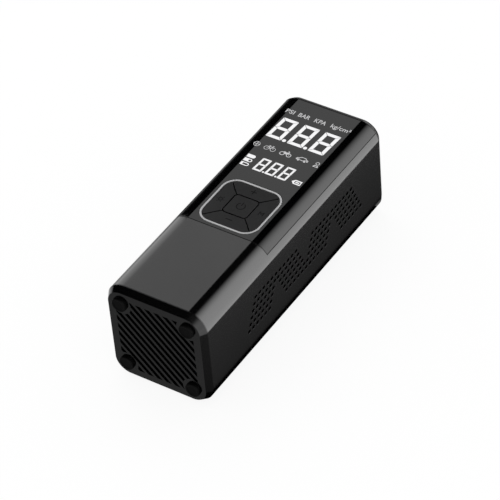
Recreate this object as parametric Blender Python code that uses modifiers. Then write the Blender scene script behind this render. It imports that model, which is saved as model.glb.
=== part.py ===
"""Portable tire inflator: a rounded square tube that holds three cells, a motor and a small piston pump.

Metres, +Z up. The tool lies on its back: the display looks up, the air intake grille looks along -Y and
the hose socket along +Y. The origin is at the middle of the overall size, on the surface it lies on.
Distances called ..._AT are measured along the body from the face of the grille.
"""
import math

import bmesh
import bpy
from mathutils import Matrix

# ---------------------------------------------------------------- driving sizes
BODY_WIDTH = 0.0600
BODY_HEIGHT = 0.0605
BODY_LENGTH = 0.1735
EDGE_RADIUS = 0.0108
WALL = 0.0025
GAP = 0.0003                  # between pieces that seat on each other
ROUND_STEPS = 12              # facets round an inner piece
SEEN_STEPS = 16               # facets round a piece that shows
SCREW_STEPS = 8               # facets round a screw, a stem or a post
TINY_STEPS = 6                # facets round a screw's bore
CORNER_STEPS = 5              # facets round a quarter corner
SMALL_CORNER_STEPS = 3        # facets round a quarter corner of a small piece

# intake end
CAP_DEPTH = 0.0037
CAP_INSET = 0.0022
SPIGOT_DEPTH = 0.0040
SPIGOT_WALL = 0.0014
GRILLE_MARGIN = 0.0065
RIB_PITCH = 0.0039
RIB_WIDTH = 0.0016
RIB_SHIFT = 0.00037
FOOT_INSET = 0.0097
FOOT_RADIUS = 0.0042
FOOT_PROUD = 0.0017
FOOT_SEAT = 0.0012
FOOT_LAND = 0.0023
SCREW_RADIUS = 0.0013
SCREW_HEAD_RADIUS = 0.0026
SCREW_HEAD_HEIGHT = 0.0012
SCREW_LENGTH = 0.0105
POST_WALL = 0.0019
POST_LENGTH = 0.0125
WEB_THICKNESS = 0.0016

# hose end
REAR_DEPTH = 0.0026
REAR_INSET = 0.0013

# side vents: a zigzag of small slots, six rows deep
VENT_ROWS = 6
VENTS_PER_LEG = 6
VENT_LEGS = 4
VENT_PITCH = 0.00388
VENT_ROW_PITCH = 0.00355
VENT_ROW_SHIFT = 0.00164
VENT_LENGTH = 0.0023
VENT_HEIGHT = 0.0014
VENT_FIRST_PEAK_AT = 0.0666
VENT_FIRST_ROW_DROP = 0.02145

# display panel and what lies under it
PANEL_MARGIN = 0.00245        # from the front edge of the panel to the ring
PANEL_THICKNESS = 0.0012
PANEL_WRAP = math.radians(60)
LEDGE = 0.0015
BOARD_DROP = 0.0062           # from the top of the body to the top of the board
BOARD_THICKNESS = 0.0016
BOARD_SIDE_SPACE = 0.0027     # from the wall to the board
BOARD_CORNER = 0.0015
BOARD_TONGUE_WIDTH = 0.0135
BOARD_POST_INSET = 0.0021     # from the edge of the board to the middle of a post
BOARD_POST_RADIUS = 0.0022
BOARD_SCREW_RADIUS = 0.0009
BOARD_SCREW_HEAD = 0.0018
BOARD_SCREW_HEAD_HEIGHT = 0.0012
BOARD_SCREW_LENGTH = 0.0040
DISPLAY_LENGTH = 0.0610
DISPLAY_SIDE_SPACE = 0.0004
DISPLAY_END_SPACE = 0.0011
SENSOR_SIZE = 0.0072
SENSOR_HEIGHT = 0.0042

# keypad
RING_MARGIN = 0.00235         # from the side of the window to the ring
DISPLAY_MARGIN = 0.00415      # from the ring to the display
RING_WIDTH = 0.0011
RING_RADIUS = 0.0085
POWER_KEY_SIZE = 0.0144
POWER_KEY_RADIUS = 0.0014
KEY_THICKNESS = 0.0020
KEY_TRAVEL = 0.0005
KEY_DROP = 0.0001
KEY_STEM_INSET = 0.00455      # from the inner edge of the ring to the stem of an outer key
STEM_RADIUS = 0.0014
SWITCH_SIZE = 0.0060
SWITCH_HEIGHT = 0.0024

# battery
CELL_RADIUS = 0.0092
CELL_CRIMP = 0.0014
CELL_NECK_DEPTH = 0.0006
CELL_BUTTON_RADIUS = 0.0028
CELL_SPACE = 0.0010
HOLDER_WALL = 0.0012
HOLDER_COLLAR = 0.0120
STRIP_THICKNESS = 0.0004

# motor
MOTOR_RADIUS = 0.01385
MOTOR_LENGTH = 0.0325
MOTOR_WALL = 0.0008
MOTOR_BOSS_RADIUS = 0.0050
MOTOR_BOSS_LENGTH = 0.0020
END_CAP_THICKNESS = 0.0015
END_CAP_DEPTH = 0.0030
MAGNET_THICKNESS = 0.0024
ARMATURE_GAP = 0.0006
ARMATURE_LENGTH = 0.0180
POLES = 3
POLE_HUB_RADIUS = 0.00410
POLE_SHOE_THICKNESS = 0.00215
POLE_SHOE_HALF = math.radians(50)
POLE_NECK_AT_SHOE = math.radians(16)
POLE_NECK_AT_HUB = math.radians(30)
SHAFT_RADIUS = 0.00115

# gears and crank
TOOTH_MODULE = 0.0008
PINION_TEETH = 9
GEAR_TEETH = 32
PRESSURE_ANGLE = math.radians(20)
ROOT_DEPTH = 1.2              # below the pitch circle, in modules
TIP_HEIGHT = 0.85             # above the pitch circle, in modules
GEAR_WIDTH = 0.0050
GEAR_BACKLASH = 0.00030
CENTRE_SLACK = 0.00015
GEAR_LEAN = 0.0089            # how far the motor axis lies to the side of the gear axis
AXLE_RADIUS = 0.0020
CRANK_RADIUS = 0.0040
ROD_THICKNESS = 0.0040
ROD_HALF_WIDTH = 0.0016
BIG_END_WALL = 0.0018
SMALL_END_WALL = 0.0014
CRANK_PIN_RADIUS = 0.0020
WRIST_PIN_RADIUS = 0.0012

# pump
PLATE_THICKNESS = 0.0027
RUNNING_GAP = 0.0006
PISTON_RADIUS = 0.0082
CROWN_ABOVE_PIN = 0.0062
SKIRT_BELOW_PIN = 0.0034
CROWN_THICKNESS = 0.0028
PISTON_WALL = 0.0018
RING_GROOVE_DEPTH = 0.0011
RING_GROOVE_HEIGHT = 0.0013
CYLINDER_WALL = 0.0015
FIN_REACH = 0.0013
FIN_THICKNESS = 0.0008
FIN_COUNT = 3
COLLAR_THICKNESS = 0.0030
COLLAR_SPACE = 0.0034         # from the tips of the gear to the collar
VALVE_PLATE_THICKNESS = 0.0008
VALVE_PORT_RADIUS = 0.0009
HEAD_HEIGHT = 0.0053
HEAD_BASE = 0.0024
HEAD_FINS = 5
OUTLET_RADIUS = 0.0009
OUTLET_LENGTH = 0.0030
NIPPLE_RADIUS = 0.0015        # of the sensor
HOSE_RADIUS = 0.0018
HOSE_RUN = 0.0108             # free length between the head and the socket
HOSE_STEPS = 8

# hose end fittings
SOCKET_INSET = 0.0140         # from the side of the body to the middle of the socket
SOCKET_BORE = 0.0041
SOCKET_RADIUS = 0.0052
SOCKET_FLANGE = 0.0064
SOCKET_FLANGE_HEIGHT = 0.0011
SOCKET_DEPTH = 0.0100
SOCKET_FLOOR = 0.0020
BARB_RADIUS = 0.0018
BARB_LENGTH = 0.0040
NUT_SIDES = 6
NUT_ACROSS = 0.0130
NUT_THICKNESS = 0.0026
LAMP_INSET = 0.0180           # from the side of the body to the middle of the lamp
LAMP_RADIUS = 0.0080
LAMP_FLANGE = 0.0011
LAMP_DOME = 0.0004
LAMP_SLEEVE_WALL = 0.0012
LAMP_CUP_DEPTH = 0.0060
REFLECTOR_DEPTH = 0.0044
REFLECTOR_WALL = 0.0009
REFLECTOR_THROAT = 0.0032
LED_BOARD_THICKNESS = 0.0010
LED_CHIP = 0.0016
USB_WIDTH = 0.0090
USB_HEIGHT = 0.0033
USB_LENGTH = 0.0074
USB_WALL = 0.0004
USB_TONGUE_WIDTH = 0.0065
USB_TONGUE_THICKNESS = 0.0007

# ---------------------------------------------------------------- places worked out from them
FACE_Y = FOOT_PROUD - (BODY_LENGTH + FOOT_PROUD) / 2
MID_Z = BODY_HEIGHT / 2
INNER_WIDTH = BODY_WIDTH - 2 * WALL
INNER_HEIGHT = BODY_HEIGHT - 2 * WALL
INNER_RADIUS = EDGE_RADIUS - WALL
HOUSING_START = CAP_DEPTH + GAP
HOUSING_END = BODY_LENGTH - REAR_DEPTH - GAP
BOARD_TOP = BODY_HEIGHT - BOARD_DROP
BOARD_BOTTOM = BOARD_TOP - BOARD_THICKNESS
BOARD_WIDTH = INNER_WIDTH - 2 * BOARD_SIDE_SPACE
BOARD_POST_SPREAD = BOARD_WIDTH / 2 - BOARD_POST_INSET
WINDOW_WIDTH = 2 * (BOARD_POST_SPREAD - BOARD_POST_RADIUS - GAP)
WINDOW_END = HOUSING_END - SPIGOT_DEPTH
RING_SIZE = WINDOW_WIDTH - 2 * RING_MARGIN
KEY_REACH = RING_SIZE / 2 - RING_WIDTH - KEY_STEM_INSET
DISPLAY_WIDTH = WINDOW_WIDTH - 2 * DISPLAY_SIDE_SPACE
DISPLAY_AT = WINDOW_END - DISPLAY_END_SPACE - DISPLAY_LENGTH
KEYPAD_AT = DISPLAY_AT - DISPLAY_MARGIN - RING_SIZE / 2
PANEL_AT = KEYPAD_AT - RING_SIZE / 2 - PANEL_MARGIN
PANEL_BOTTOM = BODY_HEIGHT - PANEL_THICKNESS
BOARD_BORE_RADIUS = BOARD_SCREW_RADIUS + 1.5 * GAP
WINDOW_AT = PANEL_AT + LEDGE
BOARD_AT = WINDOW_AT
BOARD_LENGTH = WINDOW_END - RUNNING_GAP - BOARD_AT
HOLDER_AT = HOUSING_START + POST_LENGTH + RUNNING_GAP
CELL_PITCH = 2 * CELL_RADIUS + CELL_SPACE
CELL_BORE = CELL_RADIUS + GAP
HOLDER_RADIUS = CELL_BORE + HOLDER_WALL
CELL_LOW_Z = WALL + GAP + HOLDER_RADIUS
CELL_HIGH_Z = CELL_LOW_Z + CELL_PITCH * math.sin(math.radians(60))
SOCKET_INNER_AT = BODY_LENGTH - GAP - SOCKET_FLANGE_HEIGHT - SOCKET_DEPTH
HOSE_END = SOCKET_INNER_AT - BARB_LENGTH - GAP
HOSE_START = HOSE_END - HOSE_RUN
CYLINDER_BORE = PISTON_RADIUS + GAP
CYLINDER_RADIUS = CYLINDER_BORE + CYLINDER_WALL
FIN_RADIUS = CYLINDER_RADIUS + FIN_REACH
PUMP_AT = HOSE_START - GAP - OUTLET_LENGTH - FIN_RADIUS   # the plane in which the rod and piston work
PLATE_END = PUMP_AT - FIN_RADIUS - GAP
PLATE_AT = PLATE_END - PLATE_THICKNESS
MOTOR_AT = PLATE_AT - GAP - MOTOR_LENGTH
HOLDER_LENGTH = MOTOR_AT - END_CAP_THICKNESS - GAP - HOLDER_AT
CELL_LENGTH = HOLDER_LENGTH - 2 * (GAP + STRIP_THICKNESS)   # what the motor and pump leave: the usual 65 mm
GEAR_AT = PLATE_END + RUNNING_GAP
GEAR_END = GEAR_AT + GEAR_WIDTH
PINION_PITCH = TOOTH_MODULE * PINION_TEETH / 2
GEAR_PITCH = TOOTH_MODULE * GEAR_TEETH / 2
GEAR_TIP = GEAR_PITCH + TOOTH_MODULE
CENTRE_DISTANCE = PINION_PITCH + GEAR_PITCH + CENTRE_SLACK
GEAR_X = GEAR_TIP + RUNNING_GAP - INNER_WIDTH / 2
MOTOR_X = GEAR_X + GEAR_LEAN
MOTOR_Z = WALL + GAP + MOTOR_RADIUS + RUNNING_GAP
GEAR_Z = MOTOR_Z + math.sqrt(CENTRE_DISTANCE ** 2 - GEAR_LEAN ** 2)
HEAD_END = INNER_WIDTH / 2 - RUNNING_GAP
HEAD_X = HEAD_END - HEAD_HEIGHT
VALVE_X = HEAD_X - GAP - VALVE_PLATE_THICKNESS
CYLINDER_END = VALVE_X - GAP
CROWN_X = CYLINDER_END - GAP
WRIST_X = CROWN_X - CROWN_ABOVE_PIN            # the pin of the piston at the top of its stroke
ROD_LENGTH = WRIST_X - GEAR_X - CRANK_RADIUS
COLLAR_X = GEAR_X + GEAR_TIP + COLLAR_SPACE
CYLINDER_X = COLLAR_X - COLLAR_THICKNESS / 2
SOCKET_SIDE = BODY_WIDTH / 2 - SOCKET_INSET
LAMP_SIDE = LAMP_INSET - BODY_WIDTH / 2
FITTING_Z = GEAR_Z

ALONG_X = (0.0, math.pi / 2, 0.0)       # local Z to world +X
ALONG_Y = (-math.pi / 2, 0.0, 0.0)      # local Z to world +Y
SECTION = (math.pi / 2, 0.0, 0.0)       # local X, Y to world X, Z; the thickness lies along Y
FLAT = (0.0, 0.0, 0.0)

# name: base colour, roughness, metallic
FINISHES = {
    'housing_plastic': ((0.012, 0.012, 0.013), 0.38, 0.0),
    'panel_gloss': ((0.008, 0.008, 0.009), 0.12, 0.0),
    'key_plastic': ((0.014, 0.014, 0.015), 0.40, 0.0),
    'ring_white': ((0.62, 0.62, 0.63), 0.35, 0.0),
    'foot_rubber': ((0.010, 0.010, 0.010), 0.70, 0.0),
    'inner_plastic': ((0.055, 0.055, 0.060), 0.50, 0.0),
    'board_green': ((0.010, 0.075, 0.035), 0.45, 0.0),
    'display_white': ((0.60, 0.60, 0.60), 0.50, 0.0),
    'steel': ((0.48, 0.48, 0.50), 0.32, 1.0),
    'zinc_screw': ((0.40, 0.40, 0.42), 0.35, 1.0),
    'aluminium': ((0.62, 0.63, 0.65), 0.36, 1.0),
    'brass': ((0.70, 0.50, 0.20), 0.28, 1.0),
    'cell_wrap': ((0.020, 0.170, 0.330), 0.42, 0.0),
    'nickel': ((0.55, 0.53, 0.50), 0.30, 1.0),
    'magnet': ((0.040, 0.038, 0.040), 0.60, 0.0),
    'gear_nylon': ((0.70, 0.68, 0.60), 0.45, 0.0),
    'seal': ((0.020, 0.020, 0.020), 0.55, 0.0),
    'hose_silicone': ((0.60, 0.56, 0.50), 0.45, 0.0),
    'lens_clear': ((0.80, 0.82, 0.84), 0.08, 0.0),
}


# ---------------------------------------------------------------- scene helpers
def clear_scene():
    for item in list(bpy.data.objects):
        bpy.data.objects.remove(item, do_unlink=True)


def new_collection(name):
    collection = bpy.data.collections.new(name)
    bpy.context.scene.collection.children.link(collection)
    return collection


def make_material(name):
    colour, roughness, metallic = FINISHES[name]
    material = bpy.data.materials.new(name)
    material.use_nodes = True
    shader = material.node_tree.nodes['Principled BSDF']
    shader.inputs['Base Color'].default_value = (*colour, 1.0)
    shader.inputs['Roughness'].default_value = roughness
    shader.inputs['Metallic'].default_value = metallic
    return material


clear_scene()
PARTS = new_collection('portable_tire_inflator')
CUTTERS = new_collection('cutters')
MATERIALS = {name: make_material(name) for name in FINISHES}


def along(distance):
    """World y of a place given by its distance from the face of the grille."""
    return FACE_Y + distance


def new_object(name, mesh):
    item = bpy.data.objects.new(name, mesh)
    PARTS.objects.link(item)
    return item


def place(item, location, turn=FLAT):
    item.location = location
    item.rotation_euler = turn
    return item


def finish(item, material, smooth=True):
    """Gives a part its material and smooth shading with the hard edges kept."""
    item.data.materials.clear()
    item.data.materials.append(MATERIALS[material])
    if smooth:
        item.data.shade_smooth()
        item.data.set_sharp_from_angle(angle=math.radians(35))
    return item


def combine(item, other, operation):
    """Adds a Boolean and puts the second shape with the cutters."""
    modifier = item.modifiers.new(operation.title(), 'BOOLEAN')
    modifier.operation = operation
    modifier.solver = 'EXACT'
    modifier.object = other
    for collection in list(other.users_collection):
        collection.objects.unlink(other)
    CUTTERS.objects.link(other)
    other.hide_render = True
    other.display_type = 'WIRE'
    return item


def cut(item, other):
    return combine(item, other, 'DIFFERENCE')


def join(item, other):
    return combine(item, other, 'UNION')


def keep_inside(item, other):
    return combine(item, other, 'INTERSECT')


# ---------------------------------------------------------------- shape helpers
def box(name, size, location=(0.0, 0.0, 0.0)):
    shape = bmesh.new()
    bmesh.ops.create_cube(shape, size=1.0, matrix=Matrix.Diagonal((*size, 1.0)))
    mesh = bpy.data.meshes.new(name)
    shape.to_mesh(mesh)
    shape.free()
    return place(new_object(name, mesh), location)


def cylinder(name, radius, length, location=(0.0, 0.0, 0.0), turn=FLAT, steps=ROUND_STEPS):
    """A round bar centred on its location, along local Z."""
    shape = bmesh.new()
    bmesh.ops.create_cone(shape, cap_ends=True, segments=steps, radius1=radius, radius2=radius, depth=length)
    mesh = bpy.data.meshes.new(name)
    shape.to_mesh(mesh)
    shape.free()
    return place(new_object(name, mesh), location, turn)


def turned(name, profile, closed=False, steps=ROUND_STEPS):
    """Spins (radius, height) points about local Z; they run down the outer side, top to bottom."""
    mesh = bpy.data.meshes.new(name)
    edges = [(index, index + 1) for index in range(len(profile) - 1)]
    if closed:
        edges.append((len(profile) - 1, 0))
    mesh.from_pydata([(radius, 0.0, height) for radius, height in profile], edges, [])
    item = new_object(name, mesh)
    spin = item.modifiers.new('Spin', 'SCREW')
    spin.axis = 'Z'
    spin.angle = math.tau
    spin.steps = steps
    spin.render_steps = steps
    spin.use_merge_vertices = True
    spin.merge_threshold = 0.00001
    spin.use_smooth_shade = True
    return item


def slab(name, loops, thickness):
    """A flat outline, with any further loops as holes, given a thickness centred on local Z."""
    curve = bpy.data.curves.new(name, 'CURVE')
    curve.dimensions = '2D'
    curve.fill_mode = 'BOTH'
    curve.extrude = thickness / 2
    for loop in loops:
        spline = curve.splines.new('POLY')
        spline.points.add(len(loop) - 1)
        for point, (across, up) in zip(spline.points, loop):
            point.co = (across, up, 0.0, 1.0)
        spline.use_cyclic_u = True
    drawn = bpy.data.objects.new(name, curve)
    bpy.context.scene.collection.objects.link(drawn)
    graph = bpy.context.evaluated_depsgraph_get()
    mesh = bpy.data.meshes.new_from_object(drawn.evaluated_get(graph))
    bpy.data.objects.remove(drawn)
    weld(mesh)
    mesh.name = name
    return new_object(name, mesh)


def weld(mesh):
    """Closes the loose caps of a filled outline."""
    shape = bmesh.new()
    shape.from_mesh(mesh)
    bmesh.ops.remove_doubles(shape, verts=shape.verts, dist=0.000002)
    bmesh.ops.recalc_face_normals(shape, faces=shape.faces)
    shape.to_mesh(mesh)
    shape.free()


def section(name, loops, start, end, location=(0.0, MID_Z)):
    """A slab that lies across the body, from one distance to another."""
    item = slab(name, loops, end - start)
    return place(item, (location[0], along((start + end) / 2), location[1]), SECTION)


def at_angle(radius, angle):
    return radius * math.cos(angle), radius * math.sin(angle)


def arc(centre, radius, first, last, steps):
    """Points of an arc, both ends included."""
    points = []
    for index in range(steps + 1):
        angle = first + (last - first) * index / steps
        points.append((centre[0] + radius * math.cos(angle), centre[1] + radius * math.sin(angle)))
    return points


def circle(radius, centre=(0.0, 0.0), steps=ROUND_STEPS):
    return arc(centre, radius, 0.0, math.tau, steps)[:-1]


def rounded(width, height, radius, steps=CORNER_STEPS):
    """Outline of a rounded rectangle about the middle, counter-clockwise."""
    points = []
    for corner in range(4):
        side = 1 if corner in (0, 3) else -1
        level = 1 if corner in (0, 1) else -1
        centre = (side * (width / 2 - radius), level * (height / 2 - radius))
        start = corner * math.pi / 2
        points += arc(centre, radius, start, start + math.pi / 2, steps)
    return points


def body_outline(inset):
    """Outline of the body, drawn in by an inset."""
    return rounded(BODY_WIDTH - 2 * inset, BODY_HEIGHT - 2 * inset, EDGE_RADIUS - inset)


def bevelled_end(name, face_at, seat_at, inset):
    """An end plate whose edge slopes from the body's outline in to the face."""
    shape = bmesh.new()
    rings = []
    for distance, drawn_in in ((face_at, inset), (seat_at, 0.0)):
        points = body_outline(drawn_in)
        verts = [shape.verts.new((x, along(distance), MID_Z + z)) for x, z in points]
        rings.append([shape.edges.new((verts[i - 1], verts[i])) for i in range(len(verts))])
    for ring in rings:
        bmesh.ops.contextual_create(shape, geom=ring)
    bmesh.ops.bridge_loops(shape, edges=rings[0] + rings[1])
    bmesh.ops.recalc_face_normals(shape, faces=shape.faces)
    mesh = bpy.data.meshes.new(name)
    shape.to_mesh(mesh)
    shape.free()
    return new_object(name, mesh)


def foot_places():
    """Middle of each foot, relative to the middle of the body, with a name for its corner."""
    across = BODY_WIDTH / 2 - FOOT_INSET
    up = BODY_HEIGHT / 2 - FOOT_INSET
    for side, side_name in ((-1, 'left'), (1, 'right')):
        for level, level_name in ((1, 'upper'), (-1, 'lower')):
            yield f'{level_name}_{side_name}', side * across, level * up


# ---------------------------------------------------------------- housing and end caps
def vent_places():
    """Distance along the body and drop below its top for each slot of the zigzag."""
    reach = (VENTS_PER_LEG - 1) * VENT_PITCH
    half_wave = reach + (VENT_ROWS - 1) * VENT_ROW_SHIFT
    places = []
    for leg in range(VENT_LEGS):
        peak = VENT_FIRST_PEAK_AT + 2 * half_wave * (leg // 2)
        slant = -1 if leg % 2 == 0 else 1
        for row in range(VENT_ROWS):
            for step in range(VENTS_PER_LEG):
                place_along = peak + slant * (step * VENT_PITCH + row * VENT_ROW_SHIFT)
                shared_peak = slant > 0 and row == 0 and step == 0
                shared_foot = slant < 0 and leg > 0 and row == VENT_ROWS - 1 and step == VENTS_PER_LEG - 1
                if not (shared_peak or shared_foot):
                    places.append((place_along, VENT_FIRST_ROW_DROP + row * VENT_ROW_PITCH))
    return places


def vent_cutter():
    """Slots that pass through both side walls."""
    shape = bmesh.new()
    size = Matrix.Diagonal((BODY_WIDTH + 4 * WALL, VENT_LENGTH, VENT_HEIGHT, 1.0))
    for place_along, drop in vent_places():
        seat = Matrix.Translation((0.0, along(place_along), BODY_HEIGHT - drop))
        bmesh.ops.create_cube(shape, size=1.0, matrix=seat @ size)
    mesh = bpy.data.meshes.new('vent_slots')
    shape.to_mesh(mesh)
    shape.free()
    return new_object('vent_slots', mesh)


def panel_band(name, outer_inset, inner_inset, start, end, wrap=PANEL_WRAP):
    """A strip that follows the top of the body and wraps over both long edges."""
    loops = []
    for inset in (outer_inset, inner_inset):
        radius = EDGE_RADIUS - inset
        centre = BODY_WIDTH / 2 - EDGE_RADIUS, BODY_HEIGHT / 2 - EDGE_RADIUS
        right = arc(centre, radius, math.pi / 2 - wrap, math.pi / 2, CORNER_STEPS)
        left = arc((-centre[0], centre[1]), radius, math.pi / 2, math.pi / 2 + wrap, CORNER_STEPS)
        loops.append(right + left)
    return section(name, [loops[0] + loops[1][::-1]], start, end)


def housing():
    tube = section('housing', [body_outline(0.0), body_outline(WALL)], HOUSING_START, HOUSING_END)
    cut(tube, vent_cutter())
    for name, across, distance in board_posts():
        add_board_post(tube, name, across, distance)
    rebate_depth = PANEL_THICKNESS + GAP
    cut(tube, panel_band('panel_rebate', -WALL, rebate_depth, PANEL_AT, HOUSING_END + WALL))
    window_middle = along((WINDOW_AT + WINDOW_END) / 2)
    window_size = (WINDOW_WIDTH, WINDOW_END - WINDOW_AT, 4 * WALL)
    cut(tube, box('display_window', window_size, (0.0, window_middle, BODY_HEIGHT)))
    for name, across, up in foot_places():
        add_screw_post(tube, name, across, up)
    return finish(tube, 'housing_plastic')


def add_screw_post(tube, name, across, up):
    """A post in a corner of the intake end, tied to the wall by a diagonal web."""
    radius = SCREW_RADIUS + GAP + POST_WALL
    middle = along(HOUSING_START + POST_LENGTH / 2)
    seat = (across, middle, MID_Z + up)
    join(tube, cylinder(f'post_{name}', radius, POST_LENGTH, seat, ALONG_Y, SCREW_STEPS))
    web_start = HOUSING_START + SPIGOT_DEPTH + 2 * GAP
    web_length = HOUSING_START + POST_LENGTH - web_start
    corner = EDGE_RADIUS - WALL / 2
    corner_x = math.copysign(BODY_WIDTH / 2 - EDGE_RADIUS + corner * math.sqrt(0.5), across)
    corner_z = math.copysign(BODY_HEIGHT / 2 - EDGE_RADIUS + corner * math.sqrt(0.5), up)
    reach = math.hypot(corner_x - across, corner_z - up)
    web = box(f'web_{name}', (reach, web_length, WEB_THICKNESS))
    place(web, ((across + corner_x) / 2, along(web_start + web_length / 2), MID_Z + (up + corner_z) / 2))
    web.rotation_euler = (0.0, -math.atan2(corner_z - up, corner_x - across), 0.0)
    join(tube, web)
    bore_length = POST_LENGTH + 2 * GAP
    bore_radius = SCREW_RADIUS + 2 * GAP
    cut(tube, cylinder(f'post_bore_{name}', bore_radius, bore_length, seat, ALONG_Y, TINY_STEPS))


def board_posts():
    """Name, place across and distance along for each post that the board hangs from."""
    first = BOARD_AT + 2 * BOARD_POST_RADIUS
    last = WINDOW_END - 2 * BOARD_POST_RADIUS
    for end_name, distance in (('front', first), ('rear', last)):
        for side, side_name in ((-1, 'left'), (1, 'right')):
            yield f'{end_name}_{side_name}', side * BOARD_POST_SPREAD, distance


def add_board_post(tube, name, across, distance):
    foot = BOARD_TOP + GAP
    head = BODY_HEIGHT - WALL / 2 - PANEL_THICKNESS
    seat = (across, along(distance), (foot + head) / 2)
    join(tube, cylinder(f'board_post_{name}', BOARD_POST_RADIUS, head - foot, seat, FLAT, SCREW_STEPS))
    bore_top = BOARD_BOTTOM + BOARD_SCREW_LENGTH + GAP
    bore = (across, along(distance), foot)
    bore_length = 2 * (bore_top - foot)
    cut(tube, cylinder(f'board_bore_{name}', BOARD_BORE_RADIUS, bore_length, bore, FLAT, TINY_STEPS))


def grille_slots():
    """Diagonal slots, bounded by the window and by the land round each foot."""
    width = BODY_WIDTH - 2 * GRILLE_MARGIN
    height = BODY_HEIGHT - 2 * GRILLE_MARGIN
    slots = section('grille_slots', [rounded(width, height, RIB_WIDTH)], -CAP_DEPTH, 2 * CAP_DEPTH)
    for name, across, up in foot_places():
        seat = (across, along(0.0), MID_Z + up)
        land = FOOT_RADIUS + FOOT_LAND
        cut(slots, cylinder(f'land_{name}', land, 8 * CAP_DEPTH, seat, ALONG_Y, SEEN_STEPS))
    bars = slot_bars(math.hypot(width, height))
    keep_inside(slots, bars)
    return slots


def slot_bars(reach):
    """Parallel bars at 45 degrees, one for each space between two ribs."""
    shape = bmesh.new()
    count = int(reach / RIB_PITCH / 2) + 1
    for index in range(-count, count):
        offset = RIB_SHIFT + (index + 0.5) * RIB_PITCH
        size = Matrix.Diagonal((reach, 6 * CAP_DEPTH, RIB_PITCH - RIB_WIDTH, 1.0))
        bmesh.ops.create_cube(shape, size=1.0, matrix=Matrix.Translation((0.0, 0.0, offset)) @ size)
    mesh = bpy.data.meshes.new('slot_bars')
    shape.to_mesh(mesh)
    shape.free()
    return place(new_object('slot_bars', mesh), (0.0, along(0.0), MID_Z), (0.0, math.radians(45), 0.0))


def spigot(name, start, end):
    """The ring of an end cap that slips into the tube."""
    outer = body_outline(WALL + GAP)
    inner = body_outline(WALL + GAP + SPIGOT_WALL)
    return section(name, [outer, inner], start, end)


def front_cap():
    cap = bevelled_end('front_cap', 0.0, CAP_DEPTH, CAP_INSET)
    join(cap, spigot('front_spigot', CAP_DEPTH / 2, CAP_DEPTH + SPIGOT_DEPTH))
    cut(cap, grille_slots())
    for name, across, up in foot_places():
        height = MID_Z + up
        seat = FOOT_SEAT + GAP
        head = seat + SCREW_HEAD_HEIGHT + GAP
        bores = (
            (FOOT_RADIUS, seat, SEEN_STEPS), (SCREW_HEAD_RADIUS + GAP, head, SCREW_STEPS),
            (SCREW_RADIUS + GAP, 2 * CAP_DEPTH, TINY_STEPS))
        for radius, depth, steps in bores:
            middle = (across, along(0.0), height)
            cut(cap, cylinder(f'cap_bore_{name}', radius + GAP, 2 * depth, middle, ALONG_Y, steps))
    return finish(cap, 'housing_plastic')


def feet():
    edge = FOOT_PROUD / 4
    profile = [
        (0.0, FOOT_PROUD), (FOOT_RADIUS - edge, FOOT_PROUD), (FOOT_RADIUS, FOOT_PROUD - edge),
        (FOOT_RADIUS, -FOOT_SEAT), (0.0, -FOOT_SEAT)]
    for name, across, up in foot_places():
        foot = turned(f'foot_{name}', profile, steps=SEEN_STEPS)
        place(foot, (across, along(0.0), MID_Z + up), SECTION)
        finish(foot, 'foot_rubber')


def cap_screws():
    """The screws of the intake cap, each hidden by the foot in front of it."""
    head_at = FOOT_SEAT + 2 * GAP
    profile = [
        (0.0, 0.0), (SCREW_HEAD_RADIUS, 0.0), (SCREW_HEAD_RADIUS, -SCREW_HEAD_HEIGHT),
        (SCREW_RADIUS, -SCREW_HEAD_HEIGHT), (SCREW_RADIUS, -SCREW_LENGTH),
        (0.0, -SCREW_LENGTH - SCREW_RADIUS)]
    for name, across, up in foot_places():
        screw = turned(f'cap_screw_{name}', profile, steps=SCREW_STEPS)
        place(screw, (across, along(head_at), MID_Z + up), SECTION)
        finish(screw, 'zinc_screw')


def rear_cap():
    seat_at = BODY_LENGTH - REAR_DEPTH
    cap = bevelled_end('rear_cap', BODY_LENGTH, seat_at, REAR_INSET)
    join(cap, spigot('rear_spigot', seat_at - SPIGOT_DEPTH, BODY_LENGTH - REAR_DEPTH / 2))
    sleeve_radius = LAMP_RADIUS + LAMP_FLANGE + GAP
    sleeve_outer = sleeve_radius + LAMP_SLEEVE_WALL
    lamp_place = (LAMP_SIDE, FITTING_Z)
    sleeve_at = seat_at - LAMP_CUP_DEPTH - LAMP_FLANGE
    loops = [circle(sleeve_outer, steps=SEEN_STEPS), circle(sleeve_radius, steps=SEEN_STEPS)]
    join(cap, section('lamp_sleeve', loops, sleeve_at, seat_at + REAR_DEPTH / 2, lamp_place))
    cut_round(cap, 'lamp_hole', LAMP_RADIUS + GAP, LAMP_SIDE, 2 * REAR_DEPTH)
    cut_round(cap, 'lamp_flange_seat', sleeve_radius, LAMP_SIDE, 2 * LAMP_FLANGE, seat_at)
    cut_round(cap, 'socket_hole', SOCKET_RADIUS + GAP, SOCKET_SIDE, 4 * REAR_DEPTH)
    cut_round(cap, 'socket_seat', SOCKET_FLANGE + GAP, SOCKET_SIDE, 2 * (SOCKET_FLANGE_HEIGHT + 2 * GAP))
    port = rounded(USB_WIDTH + 2 * GAP, USB_HEIGHT + 2 * GAP, USB_HEIGHT / 2, SMALL_CORNER_STEPS)
    hole_start, hole_end = seat_at - REAR_DEPTH, BODY_LENGTH + REAR_DEPTH
    cut(cap, section('port_hole', [port], hole_start, hole_end, (0.0, usb_height())))
    return finish(cap, 'housing_plastic')


def cut_round(item, name, radius, across, length, distance=BODY_LENGTH):
    """Cuts a round hole along the body, centred on a distance."""
    cut(item, cylinder(name, radius, length, (across, along(distance), FITTING_Z), ALONG_Y, SEEN_STEPS))


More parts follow.
